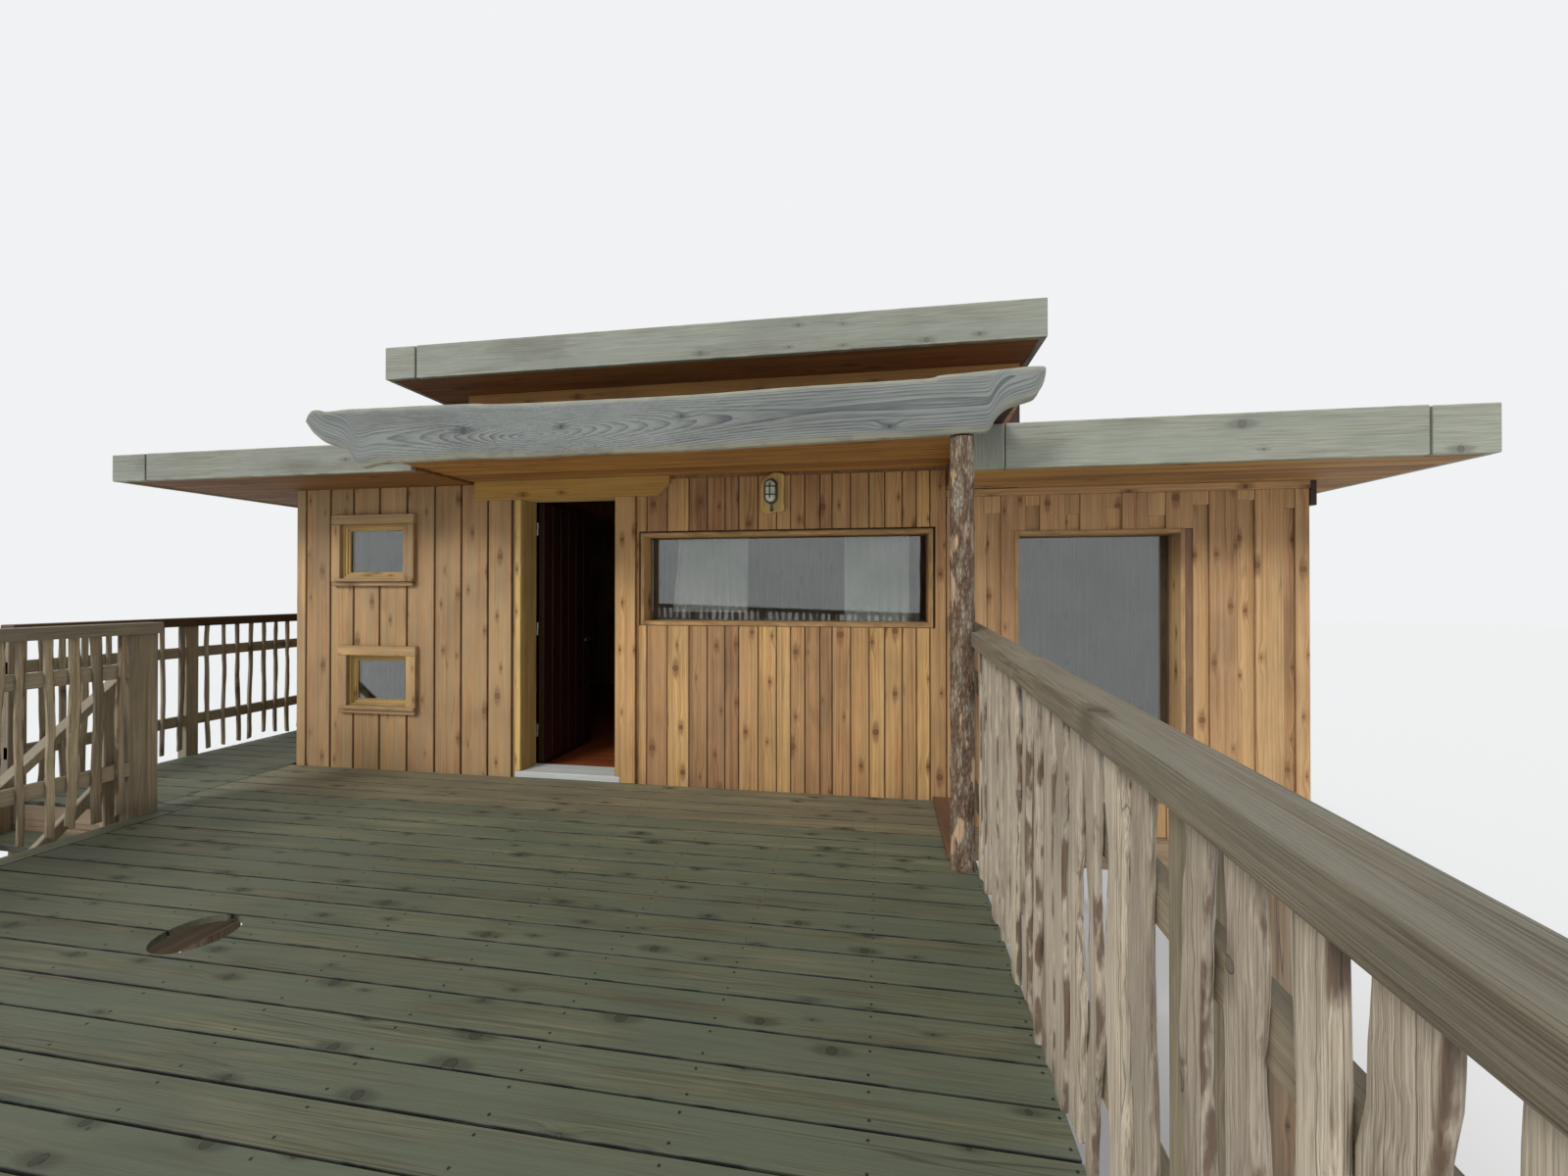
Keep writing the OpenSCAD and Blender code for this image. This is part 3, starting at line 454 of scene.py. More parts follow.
# %% [markdown]
# The rings are circles round the middle of the tree, shifted a little by a slow noise and by the
# knots. Streaks and fibres are noises stretched along the board.

# %% Rings, streaks, fibres and cracks
uneven = noisy(given["grain"], (5, 5, 0.7))
stain = noisy(given["grain"], (2.4, 2.4, 1.4), 4.0)
skin = noisy(given["grain"], (14, 14, 1.3), 5.0)
shift = put(wood, "CombineXYZ", {0: uneven * 0.05 + push})
bent = put(wood, "VectorMath", {0: given["grain"], 1: shift}, operation="ADD")
bent = put(wood, "VectorMath", {0: bent, "Scale": given["lines"]}, operation="SCALE")
streak = noisy(bent, (42, 42, 0.9), 5.0)
fibre = noisy(given["grain"], (380, 380, 6), 3.0)
wave = {"Vector": scaled(bent, (1, 1, 0.02)), "Scale": 19.0, "Distortion": 0.8, "Detail": 2.0}
rings = put(wood, "TexWave", wave, wave_type="RINGS", rings_direction="Z", wave_profile="SAW")
rings = rings["Fac"] ** 1.8
core_rings = (near * 260.0).calc("FRACT")
cracks = put(wood, "TexVoronoi", {"Vector": scaled(given["grain"], (30, 30, 0.45)), "Scale": 1.0},
             feature="DISTANCE_TO_EDGE")
cracks = ramp(cracks, 0.0, 0.03, 1.0, 0.0) * ramp(uneven, 0.45, 0.6) * given["cracks"]

# %% [markdown]
# The colour starts between a light and a dark tone by the pattern of the wood. Then come the
# board's own tone and stains, the grey skin, the warm halo round a knot, the rim along the edges
# and sides, which is dirt in the joints and painted shade where the sides face into gaps, and
# last the knot itself and the cracks.

# %% The colour of wood
pattern = ((rings - 0.5) * given["rings"] + (streak - 0.5) * (given["streaks"] * 2.6)
           + (fibre - 0.5) * (given["fibres"] * 2.4))
colour = blend(wood, pattern.calc("ADD", 0.5, use_clamp=True), given["light"], given["dark"])
off_tone = (given["tone"] - 0.5) * given["spread"]
colour = put(wood, "HueSaturation", {
    "Color": colour, "Value": off_tone + ramp(stain, 0.40, 0.72, 1.06, 0.74),
    "Hue": off_tone * 0.03 + 0.5})
upward = put(wood, "SeparateXYZ", {0: put(wood, "NewGeometry")["True Normal"]})[2]
grey = ramp(skin, 0.34, 0.64) * given["weather"] * ramp(upward, 0.1, 0.8, 0.75, 1.15)
colour = blend(wood, grey, colour, given["grey"])
colour = blend(wood, halo, colour, blend(wood, 0.45, given["dark"], given["deep"]))
inside = given["half"] - given["across"].calc("ABSOLUTE")
torn = ramp(noisy(given["grain"], (26, 26, 7), 4.0), 0.44, 0.56) - 1.0
# The rim colours a board's long edges and sides in the finish's rim tone. On most woods this is
# dirt in the joints, and painted shade on the sides that face into the gaps.
rim = ramp(inside / given["width"], 0.05, 1.0, 1.0, 0.0) * given["edge"]
colour = blend(wood, rim * (torn * given["ragged"] + 1.0), colour, given["rim"])
heart = blend(wood, core_rings * 0.4 + 0.3, given["dark"], given["deep"])
for amount, shade in ((core * 0.9, heart), (lip * 0.75, given["deep"]), (cracks, given["deep"])):
    colour = blend(wood, amount, colour, shade)
height = fibre * given["fibres"] + rings * 0.25 - (cracks + lip * 0.4)
feed(wood.nodes.new("NodeGroupOutput"), {"color": colour, "height": height})
print("wood group:", len(wood.nodes), "nodes")

# %% [markdown]
# ## Finishes in wood
#
# Each finish places the group in a material of its own. Old boards have greyed and cracked, new
# boards are warm and even, and sawn soffit boards are coarse. A CAD solid that stays in view has no
# board coordinates, so its finish reads the object's own coordinates instead.


# %% Wood finishes
def wood_finish(name, tones, rim=None, rough=0.75, bump=0.3, solid=False, **amounts):
    """A wood in its light, dark, deep and grey tones. Amounts are those that aren't the usual."""
    material, tree, surface = new_material(name)
    group = put(tree, "Group", node_tree=wood)
    tones = dict(zip(("light", "dark", "deep", "grey"), tones.split()))
    tones["rim"] = rim or tones["deep"]
    feed(group.node, {key: paint(code) for key, code in tones.items()} | AMOUNTS | amounts)
    if solid:
        feed(group.node, {"grain": put(tree, "TexCoord")["Object"]})
    else:
        own = put(tree, "Attribute", attribute_name="grain")["Vector"]
        board = put(tree, "Attribute", attribute_name="board")["Vector"]
        board = put(tree, "SeparateXYZ", {0: board})
        feed(group.node, {"grain": own, "tone": board[0], "across": board[1], "half": board[2]})
    gloss = ramp(group["height"], 0.0, 0.6, rough + 0.1, rough - 0.08)
    relief = put(tree, "Bump", {"Height": group["height"], "Strength": bump, "Distance": 0.004})
    feed(surface, {"Base Color": group["color"], "Roughness": gloss, "Normal": relief})
    return material


CLADDING = dict(fibres=0.6, streaks=0.6)
left_boards = wood_finish(
    "left cladding", "b28d60 8d6b44 432814 908466", rings=0.42, weather=0.45, spread=0.32,
    knots=0.55, **CLADDING)
centre_boards = wood_finish(
    "centre cladding", "b8905f 875c35 3e2210 9a8561", rings=0.5, edge=0.5, streaks=0.65,
    fibres=0.6, knots=0.65, weather=0.35, spread=0.6)
right_boards = wood_finish(
    "right cladding", "be966a 926a40 4a2811 a8946f", rings=0.45, knots=0.7, spread=0.3, edge=0.4,
    **CLADDING)
ring_boards = wood_finish(
    "raised ring cladding", "b58447 8a5e2e 43260f 93764a", rings=0.3, streaks=0.5, fibres=0.5,
    knots=0.5, weather=0.25)
lining_boards = wood_finish("room lining", "8d6a45 644529 33200f 75603f", weather=0.05)
solid_boards = wood_finish("wall cores", "8a6440 5f4026 3a2413 7c6a52", solid=True)
new_boards = wood_finish(
    "new joinery", "c6a463 957342 523618 a3966a", weather=0.25, knots=0.25, edge=0.15, spread=0.3,
    rough=0.62)
lintel_boards = wood_finish(
    "lintel", "b98f4a 8d682e 4b3114 94824f", knots=0.15, edge=0.1, lines=1.4)

SOFFIT = dict(edge=0.5, knots=0.2)
soffit_left = wood_finish(
    "left soffit boards", "8a5c2a 583512 271506 6e583a", rings=0.5, weather=0.25, **SOFFIT)
soffit_upper = wood_finish(
    "upper soffit boards", "a3692f 6b421d 2c1809 7a5b36", rings=0.5, weather=0.15, **SOFFIT)
soffit_right = wood_finish(
    "right soffit boards", "ad8048 805a2f 3c230e 927750", rings=0.6, weather=0.2, **SOFFIT)
soffit_canopy = wood_finish(
    "canopy soffit boards", "a6753c 66401d 2e1808 80663f", rings=0.5, fibres=0.7, knots=0.12,
    weather=0.25, edge=0.4)

silver_boards = wood_finish(
    "silvered fascia", "969888 77786c 3d3b32 878d83", "b3af94", rings=0.3, streaks=0.6, fibres=1.2,
    knots=0.22, weather=0.6, spread=0.2, edge=0.5, width=0.016, lines=3.0, ragged=0.8)
slab_wood = wood_finish(
    "slab", "797c77 3f4547 2b2f31 777c78", "9c9882", rings=1.1, streaks=0.5, fibres=0.9,
    knots=0.12, weather=0.35, edge=0.7, width=0.040, lines=1.8)

# Deck boards take the rim at full strength in their near-black deep tone: painted shade on their
# sides, which darkens the gaps.
DECKING = dict(rings=0.4, streaks=0.7, fibres=0.6, cracks=0.5, edge=1.0, width=0.004, lines=2.2,
               rough=0.7)
deck_planks = wood_finish(
    "terrace boards", "73725a 444735 161712 575f4e", knots=0.6, weather=0.7, spread=0.5, **DECKING)
dry_planks = wood_finish(
    "dry terrace boards", "7a725a 4e4936 1a1711 625f4e", knots=0.5, weather=0.6, spread=0.4,
    **DECKING)

SPLIT = dict(rings=0.12, streaks=0.55, fibres=1.1, cracks=0.5, edge=0.9, lines=2.5, ragged=1.0,
             bump=0.8)
stick_wood = wood_finish(
    "split sticks", "b9ac98 877a68 3f3127 a59b8a", "5a4636", spread=0.55, weather=0.55,
    width=0.008, **SPLIT)
brown_stick_wood = wood_finish(
    "narrow sticks", "a5967a 75664b 372a1c 8d846e", "4e3c29", spread=0.6, weather=0.4, width=0.007,
    **SPLIT)
post_wood = wood_finish(
    "posts and bars", "978a72 72664d 3a3020 857e6c", rings=0.3, streaks=0.5, fibres=1.0,
    knots=0.25, cracks=0.35, weather=0.5, spread=0.4, lines=2.0, bump=0.5)
pole_wood = wood_finish(
    "thin poles", "a5997f 66563f 352a20 837b6a", rings=0.3, streaks=1.0, fibres=0.8, cracks=0.4,
    spread=0.6, weather=0.5, lines=2.5, bump=0.6)
hand_wood = wood_finish(
    "handrails", "877c67 5f5543 2f2618 7d7969", rings=0.3, streaks=0.7, fibres=1.6, knots=0.15,
    cracks=0.5, weather=0.65, edge=0.15, spread=0.1, lines=3.0, bump=0.8)
dark_hand_wood = wood_finish(
    "gallery handrail", "5e4022 3e2814 1e1207 50442c", weather=0.35, edge=0.2, lines=2.0)
beam_wood = wood_finish(
    "old beams", "94795a 65503a 32261a 7b7466", rings=0.5, knots=0.4, cracks=0.8, weather=0.6,
    edge=0.2)

red_boards = wood_finish(
    "red floor boards", "8f4a20 6d3413 351706 7d5238", knots=0.1, weather=0.08, edge=0.5,
    rough=0.42, bump=0.12)
edge_boards = wood_finish(
    "brown edge board", "80573a 5f3f29 2f1d10 705a44", knots=0.1, weather=0.4, edge=0.4,
    rough=0.55, bump=0.2)
# Near black: the leaf's dark wood, darkened further as painted shade of the unlit room behind it.
# The same finish paints shade on the dark boards by the beak and the raised ring.
leaf_and_shade_boards = wood_finish(
    "door leaf and painted shade boards", "36190c 260f06 140802 32201a", knots=0.1, weather=0.05, rough=0.45,
    bump=0.12)
sill_boards = wood_finish(
    "worn threshold", "c4c6c2 a3a5a0 6c6a62 b7bcbd", cracks=0.4, knots=0.05, weather=0.5, edge=0.1,
    lines=2.0)

# %% [markdown]
# ## Metal, glass, felt and cloth
#
# The small finishes are made the same way: a noise drives the colour a little and the roughness
# more. Glass is clear with a faint film, felt is speckled with slate grit, and the curtains are
# thin cloth that lets some light through.


# %% Other finishes
def plain_finish(name, tones, size, rough, bump=0.2, sway=0.09, **settings):
    """A finish whose colour goes between two tones over a noise of that size, in metres."""
    material, tree, surface = new_material(name)
    first, second = map(paint, tones.split())
    spots = noisy(put(tree, "TexCoord")["Object"], (1 / size,) * 3, 4.0)
    inputs = {"Base Color": blend(tree, ramp(spots, 0.3, 0.7), first, second),
              "Roughness": ramp(spots, 0.2, 0.8, rough - sway, rough + sway),
              "Normal": put(tree, "Bump", {"Height": spots, "Strength": bump, "Distance": 0.002})}
    feed(surface, inputs | {key.replace("_", " "): value for key, value in settings.items()})
    return material


steel = plain_finish("satin steel", "aab0b4 8d9397", 0.01, 0.35, 0.05, Metallic=1.0)
bronze = plain_finish("bronze paint", "464a36 31341f", 0.008, 0.45, 0.15)
screw_metal = plain_finish("screw heads", "4c4a44 2c2a26", 0.004, 0.5, 0.1, Metallic=0.7)
lamp_glass = plain_finish("lamp glass", "ced3c6 b7bdae", 0.01, 0.35, 0.1)
window_pane = plain_finish(
    "window glass", "f4faf8 e4efeb", 0.3, 0.02, 0.0, 0.015, Transmission_Weight=1.0, IOR=1.9)
felt = plain_finish("roofing felt", "55585a 3f4243", 0.004, 0.9, 0.6)
cloth = plain_finish("sheer cloth", "f3f3ee e7e8e4", 0.002, 0.9, 0.15, Alpha=0.86)
print("finishes:", len(bpy.data.materials))


def refinish(node, finish):
    """Gives a finish to a CAD node that stays in view."""
    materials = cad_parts[node].data.materials
    materials.clear()
    materials.append(finish)


# %% [markdown]
# ## Under the deck
#
# Stilts, braces, beams and joists have the right shapes in the CAD model. A copy of each gets
# broken edges and the grain of its own length, which is all that sawn timber needs.

# %% Substructure
for node in ("stilts", "knee_braces", "beams", "joists"):
    dress(node.rstrip("s") + "_timber", node, beam_wood, "beam_wood", 0.006)

# %% [markdown]
# ## Walls
#
# The cabin wears three kinds of cladding. Left of the door stand wide boards with joints as broad
# as a finger. In the middle, boards of mixed widths stand close together. On the right, cover
# boards lie over recessed ones. Behind all of them is a core whose colour is darkened as painted
# shade, so that the joints look deep. The window holes are sawn through core, boards and lining
# alike. Round the wide window the boards stop a little short, which leaves an open joint, dark
# with the core's painted shade.


# %% Wall parts
def window_cutter(left, right, bottom, top):
    return box_cutter((left, -0.5, bottom), (right, 0.5, top))


UPPER, LOWER = (0.439, 1.011, 1.486, 1.909), (0.502, 1.030, 0.489, 0.883)
WIDE, PICTURE = (2.932, 4.993, 1.140, 1.806), (5.511, 6.584, 0.062, 1.780)
holes = [window_cutter(*hole) for hole in (UPPER, LOWER, WIDE, PICTURE)]
wide_joint = window_cutter(WIDE[0] - 0.016, WIDE[1] + 0.016, WIDE[2] - 0.003, WIDE[3] + 0.012)
# The cores behind the boards take a tone far below any board's: painted shade that darkens the
# joints.
CORE_SHADE_TONE, CLAD_T, COVER_T, CORE_BACK, WIDE_GAP = -1.1, 0.022, 0.018, 0.166, 0.016


def spread(start, end, pitch):
    """Joints from start to end, about a pitch apart."""
    count = max(1, round((end - start) / pitch))
    return [start + (end - start) * i / count for i in range(count + 1)]


def uprights(joints, gap, front, back, low, high, side="y", holes=holes):
    """Upright boards from joint to joint, on a wall that faces along Y or, with side x, along X."""
    boards = []
    for a, b in zip(joints, joints[1:]):
        a, b = a + gap / 2, b - gap / 2
        ends = ((a, front, low), (b, back, high)) if side == "y" else ((front, a, low),
                                                                       (back, b, high))
        boards.append(plank(*ends, 2, cutters=holes))
    return boards


def wall_core(x0, x1, y0, y1, top):
    # A core's low tone is painted shade, seen through the joints.
    return plank((x0, y0, SILL_Z), (x1, y1, top), 2, cutters=holes, tone=CORE_SHADE_TONE)


# %% Front wall, left of the door
left_joints = [0.0, 0.095, 0.321, 0.533, 0.767, 1.010, 1.252, 1.480, 1.705, 1.907]
parts = uprights(left_joints, WIDE_GAP, 0.0, CLAD_T, SILL_Z, SOFFIT_LEFT)
parts.append(wall_core(CLAD_T, DOOR_LEFT, CLAD_T, CORE_BACK, SOFFIT_LEFT))
# This narrow board by the door is set back and takes a low tone: painted shade at the side of the
# door's recess.
parts.append(plank((1.911, 0.010, SILL_Z), (DOOR_LEFT, CLAD_T, SOFFIT_LEFT), 2, tone=0.0))
assemble("front_left_boards", parts, left_boards, "cladding_wood", ["front_wall_left"])

# %% Front wall, over the door and in the middle
parts = [plank((DOOR_LEFT, 0.0, DOOR_TOP), (DOOR_RIGHT, CORE_BACK, SOFFIT_LEFT), 0)]
assemble("front_over_door_board", parts, centre_boards, "cladding_wood", ["front_wall_over_door"])
centre_joints = [2.787, 2.977, 3.133, 3.295, 3.430, 3.560, 3.660, 3.800, 3.930, 4.030, 4.130,
                 4.235, 4.318, 4.444, 4.570, 4.675, 4.791, 4.884, 4.973, 5.080]
parts = uprights(centre_joints, 0.005, 0.0, CLAD_T, SILL_Z, SOFFIT_LEFT, holes=[wide_joint])
parts.append(wall_core(DOOR_RIGHT, BAY_RIGHT, CLAD_T, CORE_BACK, SOFFIT_LEFT))
assemble("front_centre_boards", parts, centre_boards, "cladding_wood", ["front_wall_centre"])

# %% Front wall, right of the log post
FRIEZE_Z, COVER_W = 2.011, 0.157
covers = [5.180, 5.427, 5.669, 5.914, 6.165, 6.421, 6.668, 6.923, 7.142]
parts = [plank((start, 0.0, SILL_Z), (min(start + COVER_W, CAB_W), COVER_T, FRIEZE_Z + 0.001), 2,
               cutters=holes) for start in covers]
for start, end in zip([5.082] + [c + 0.150 for c in covers], [c + 0.008 for c in covers]):
    parts.append(plank((start, 0.020, SILL_Z), (end, 0.036, SOFFIT_RIGHT), 2, cutters=holes))
    block = 0.05 + 0.10 * dice.random()
    parts.append(plank((start + 0.002, -0.001, FRIEZE_Z - block), (end - 0.010, 0.020, FRIEZE_Z),
                       2, tone=0.9))
parts.append(plank((BAY_RIGHT, -0.010, FRIEZE_Z), (CAB_W, 0.020, SOFFIT_RIGHT), 0, tone=0.8))
parts.append(wall_core(BAY_RIGHT, CAB_W - 0.036, 0.036, CORE_BACK, SOFFIT_RIGHT))
assemble("front_right_boards", parts, right_boards, "cladding_wood", ["front_wall_right"])

# %% Side and back walls
WIDE_PITCH, INNER_FRONT, INNER_BACK = 0.2265, 0.168, 4.032
parts = uprights(spread(0.024, CAB_D, WIDE_PITCH), WIDE_GAP, 0.0, CLAD_T, SILL_Z, SOFFIT_LEFT, "x")
parts.append(wall_core(CLAD_T, CORE_BACK, INNER_FRONT, INNER_BACK, SOFFIT_LEFT))
assemble("left_wall_boards", parts, left_boards, "cladding_wood", ["left_wall"])

cover_x, corner_y, parts = CAB_W - COVER_T, CAB_D - 0.095, []
for y in spread(0.038, corner_y, 0.249)[:-1]:
    parts.append(plank((cover_x, y, SILL_Z), (CAB_W, y + COVER_W, SOFFIT_RIGHT), 2))
    parts.append(plank((CAB_W - 0.036, y + 0.150, SILL_Z), (cover_x, y + 0.257, SOFFIT_RIGHT), 2,
                       tone=0.3))
parts.append(plank((cover_x, corner_y, SILL_Z), (CAB_W, CAB_D, SOFFIT_RIGHT), 2))
parts.append(wall_core(7.054, CAB_W - 0.036, INNER_FRONT, INNER_BACK, SOFFIT_RIGHT))
assemble("right_wall_boards", parts, right_boards, "cladding_wood", ["right_wall"])
edge_trim = plank((CAB_W + 0.001, -0.004, 1.908), (CAB_W + 0.038, CAB_D, SOFFIT_RIGHT), 1)
# The short near-black board over the raised ring's right corner is painted shade over the boards
# there.
ring_shade_board = plank((5.400, -0.026, 2.320), (5.541, 0.0, 2.700), 2)
assemble("right_wall_trim_and_ring_shade", [edge_trim, ring_shade_board], leaf_and_shade_boards, "floor_wood")

parts, back_face = [], CAB_D - CLAD_T
for a, b, top in ((0.024, BAY_RIGHT, SOFFIT_LEFT), (BAY_RIGHT, CAB_W - 0.020, SOFFIT_RIGHT)):
    parts += uprights(spread(a, b, WIDE_PITCH), WIDE_GAP, back_face, CAB_D, SILL_Z, top)
    parts.append(wall_core(max(a, 0.026), min(b, 7.18), 4.034, back_face, top))
assemble("back_wall_boards", parts, left_boards, "cladding_wood", ["back_wall"])

# %% [markdown]
# ## The raised wall ring
#
# Over the middle of the cabin four low walls lift the top roof. From the terrace only a strip of
# its frieze board shows. The CAD ring stays as the core, and boards are set on it outside.

# %% Raised ring
refinish("clerestory", solid_boards)
across, deep, parts = spread(BAY_LEFT, TOP_RIGHT, 0.19), spread(0.0, CAB_D, 0.2), []
ring_left, ring_right = BAY_LEFT - 0.016, TOP_RIGHT + 0.016
for joints, front, back, low, high, side in (
        (across, -0.016, 0.0, 2.42, 2.73, "y"), (across, CAB_D, 4.216, 2.38, SOFFIT_TOP, "y"),
        (deep, ring_left, BAY_LEFT, 2.371, SOFFIT_TOP, "x"),
        (deep, TOP_RIGHT, ring_right, 2.301, SOFFIT_TOP, "x")):
    parts += uprights(joints, 0.006, front, back, low, high, side)
parts.append(plank((ring_left, -0.030, 2.72), (ring_right, 0.0, SOFFIT_TOP), 0, tone=0.5))
assemble("raised_ring_boards", parts, ring_boards, "cladding_wood")

# %% [markdown]
# ## Room lining and floor
#
# Through the open door and the windows one looks into the room, so it has floor boards and a plain
# lining of upright boards. The windows are sawn out of the lining too, and then the cutters go.

# %% Room
parts = []
for a, b, front, back, top, side in (
        (0.182, 1.90, 0.167, WALL_T, SOFFIT_LEFT, "y"),
        (2.84, BAY_RIGHT, 0.167, WALL_T, SOFFIT_LEFT, "y"),
        (BAY_RIGHT, 7.038, 0.167, WALL_T, SOFFIT_RIGHT, "y"),
        (0.182, 4.018, 0.167, WALL_T, SOFFIT_LEFT, "x"),
        (0.182, 4.018, 7.040, 7.053, SOFFIT_RIGHT, "x"),
        (0.182, BAY_RIGHT, 4.020, 4.033, SOFFIT_LEFT, "y"),
        (BAY_RIGHT, 7.038, 4.020, 4.033, SOFFIT_RIGHT, "y")):
    parts += uprights(spread(a, b, 0.14), 0.003, front, back, LINING_Z, top, side)
assemble("room_lining", parts, lining_boards, "cladding_wood")
parts = [plank((0.180, y + 0.0006, -0.028), (7.040, y + 0.1416, 0.020), 0)
         for y in spread(0.180, 4.020, 0.142)[:-1]]
assemble("room_floor_boards", parts, red_boards, "floor_wood", ["cabin_floor"])
discard(wide_joint, *holes)

# %% [markdown]
# ## Roofs
#
# The roofs are flat. From the terrace one sees their undersides, boarded lengthwise, and from above
# they carry felt in strips a metre wide. The CAD solid, a little thinner, stays in between,
# darkened as painted shade where it shows between the boards. A cover board runs on from the canopy
# behind the beak of the slab, coloured near black as painted shade.


# %% Roofs
SOFFIT_T, SOFFIT_GAP, FELT_T, FELT_LAP = 0.018, 0.005, 0.008, 0.10


def roof_core(node):
    """A copy of a roof's solid, thinner by its boards below and its felt above."""
    cores = dressed(node, 0.002)
    for core in cores:
        co = read(core.data)
        low, high = co[:, 2].min(), co[:, 2].max()
        co[:, 2] += np.where(co[:, 2] < low + 0.006, SOFFIT_T, 0.0)
        co[:, 2] -= np.where(co[:, 2] > high - 0.006, FELT_T, 0.0)
        write(core.data, co)
        core.data.transform(TO_FRAME.inverted())
        # The roof's core takes the same low tone: painted shade in the gaps between the soffit
        # boards.
        grain(core, tone=CORE_SHADE_TONE)
    return cores


def roof_rows(ends, first, last, width):
    """Rows from first to last, each with its ends. Between the walls a row may start further in."""
    outside, between, right = ends
    rows = spread(first, last, width)
    return [(between if 0 <= (a + b) / 2 <= CAB_D else outside, right, a, b)
            for a, b in zip(rows, rows[1:])]


ROOFS = [("left", (-0.850, -0.850, BAY_LEFT), -0.560, 4.760, SOFFIT_LEFT, 2.370, soffit_left),
         ("right", (BAY_RIGHT, TOP_RIGHT, 7.590), -0.620, 4.820, SOFFIT_RIGHT, 2.300,
          soffit_right),
         ("upper", (1.250, 1.250, 5.570), -0.380, 4.580, SOFFIT_TOP, 3.090, soffit_upper),
         ("canopy", (BAY_LEFT, BAY_LEFT, BAY_RIGHT), -1.000, 0.0, SOFFIT_CANOPY, 2.420,
          soffit_canopy)]
for name, ends, first, last, low, top, finish in ROOFS:
    parts = [plank((x0, a + SOFFIT_GAP / 2, low), (x1, b - SOFFIT_GAP / 2, low + SOFFIT_T), 0)
             for x0, x1, a, b in roof_rows(ends, first, last, 0.118)]
    parts += roof_core(name + "_roof")
    assemble(name + "_soffit", parts, finish, "soffit_wood", [name + "_roof"])
    strips = []
    for x0, x1, a, b in roof_rows(ends, first, last, 0.95):
        strips.append(plank((x0, a, top - FELT_T), (x1, b, top - 0.004), 0))
        strips.append(plank((x0, b - FELT_LAP, top - 0.005), (x1, b, top - 0.0015), 0))
    assemble(name + "_felt", strips, felt, None)

# The cover board behind the beak is coloured near black: painted shade behind the slab.
beak_cover_shade = plank((BAY_RIGHT, -0.998, 2.312), (5.313, -0.020, 2.330), 0)
assemble("canopy_cover_shade_board", [beak_cover_shade], leaf_and_shade_boards, "soffit_wood")

# %% [markdown]
# ## Fascia boards
#
# Each flat roof ends in sawn boards that have turned silver, with a paler band along their edges.
# The front boards end in a short piece at the free corner, behind an open butt joint, and the one
# on the right has a second short piece at its left end.

# %% Fascias
JOINT = 0.006
# The first number is each fascia's tone. The left one's is low: painted shade that falls on it.
FASCIAS = {
    "left_fascia": (-1.2, [((-0.890, -0.600, 2.185), (-0.592 - JOINT, -0.560, 2.378)),
                           ((-0.592 + JOINT, -0.600, 2.185), (1.580, -0.560, 2.380)),
                           ((-0.890, -0.560, 2.185), (-0.850, 4.760, 2.380)),
                           ((-0.890, 4.760, 2.185), (1.580, 4.800, 2.380))]),
    "right_fascia": (0.5, [((5.080, -0.660, 2.060), (5.320, -0.620, 2.310)),
                           ((5.324, -0.660, 2.060), (7.335 - JOINT, -0.620, 2.310)),
                           ((7.335 + JOINT, -0.660, 2.061), (7.630, -0.620, 2.306)),
                           ((7.590, -0.620, 2.060), (7.630, 4.820, 2.310)),
                           ((5.080, 4.820, 2.060), (7.630, 4.860, 2.310))]),
    "upper_fascia": (-0.2, [((1.210, -0.420, 2.871), (1.450 - JOINT, -0.380, 3.098)),
                            ((1.450 + JOINT, -0.420, 2.870), (5.610, -0.380, 3.100)),
                            ((1.210, 4.580, 2.870), (5.610, 4.620, 3.100)),
                            ((1.210, -0.380, 2.870), (1.250, 4.580, 3.100)),
                            ((5.570, -0.380, 2.870), (5.610, 4.580, 3.100))])}
for node, (tone, boards) in FASCIAS.items():
    parts = [plank(low, high, blank=worn, tone=tone + 0.4 * dice.random()) for low, high in boards]
    assemble(node + "_boards", parts, silver_boards, "silver_wood", [node])

# %% [markdown]
# ## The live-edge slab
#
# A slab sawn lengthwise through a trunk hangs along the canopy. Its edges are the tree's own, wavy
# above and below, and it ends in a beak on the right. A flat grid is stood up, its rows are fitted
# between a lower and an upper curve, and the sheet is extruded back to the thickness of the slab.
# The points of both curves are in millimetres, along from the canopy's left end and up.

# %% Slab outline
LOWER_EDGE = [(-301, 141), (-274, 94), (-240, 57), (-173, 14), (-72, -19), (-26, -43), (7, -79),
              (27, -122), (53, -136), (106, -132), (158, -120), (287, -114), (478, -112),
              (789, -108), (1030, -115), (1500, -110), (2050, -114), (2575, -103), (3265, -90),
              (3460, -84)]
BEAK = [(3460, -84), (3572, -80), (3599, -66), (3617, -32), (3645, 5), (3681, 32), (3726, 48),
        (3771, 60), (3806, 74), (3824, 104), (3842, 136), (3851, 182)]
UPPER_EDGE = [(-301, 141), (-287, 185), (-264, 212), (-232, 212), (-173, 201), (-39, 208),
              (158, 206), (478, 204), (789, 199), (1030, 187), (2050, 180), (2575, 190),
              (3265, 195), (3359, 206), (3544, 215), (3681, 221), (3793, 226), (3846, 219),
              (3851, 182)]


def smooth_line(points, steps=8):
    """The same curve through points as in the CAD model, as an array in metres."""
    line = []
    for i in range(len(points) - 1):
        a, b, c, d = (np.array(points[min(max(i + k, 0), len(points) - 1)], float)
                      for k in (-1, 0, 1, 2))
        for t in np.arange(steps) / steps:
            line.append(0.5 * (2 * b + (c - a) * t + (2 * a - 5 * b + 4 * c - d) * t * t
                               + (3 * b - 3 * c + d - a) * t ** 3))
    return np.array(line + [points[-1]]) / 1000


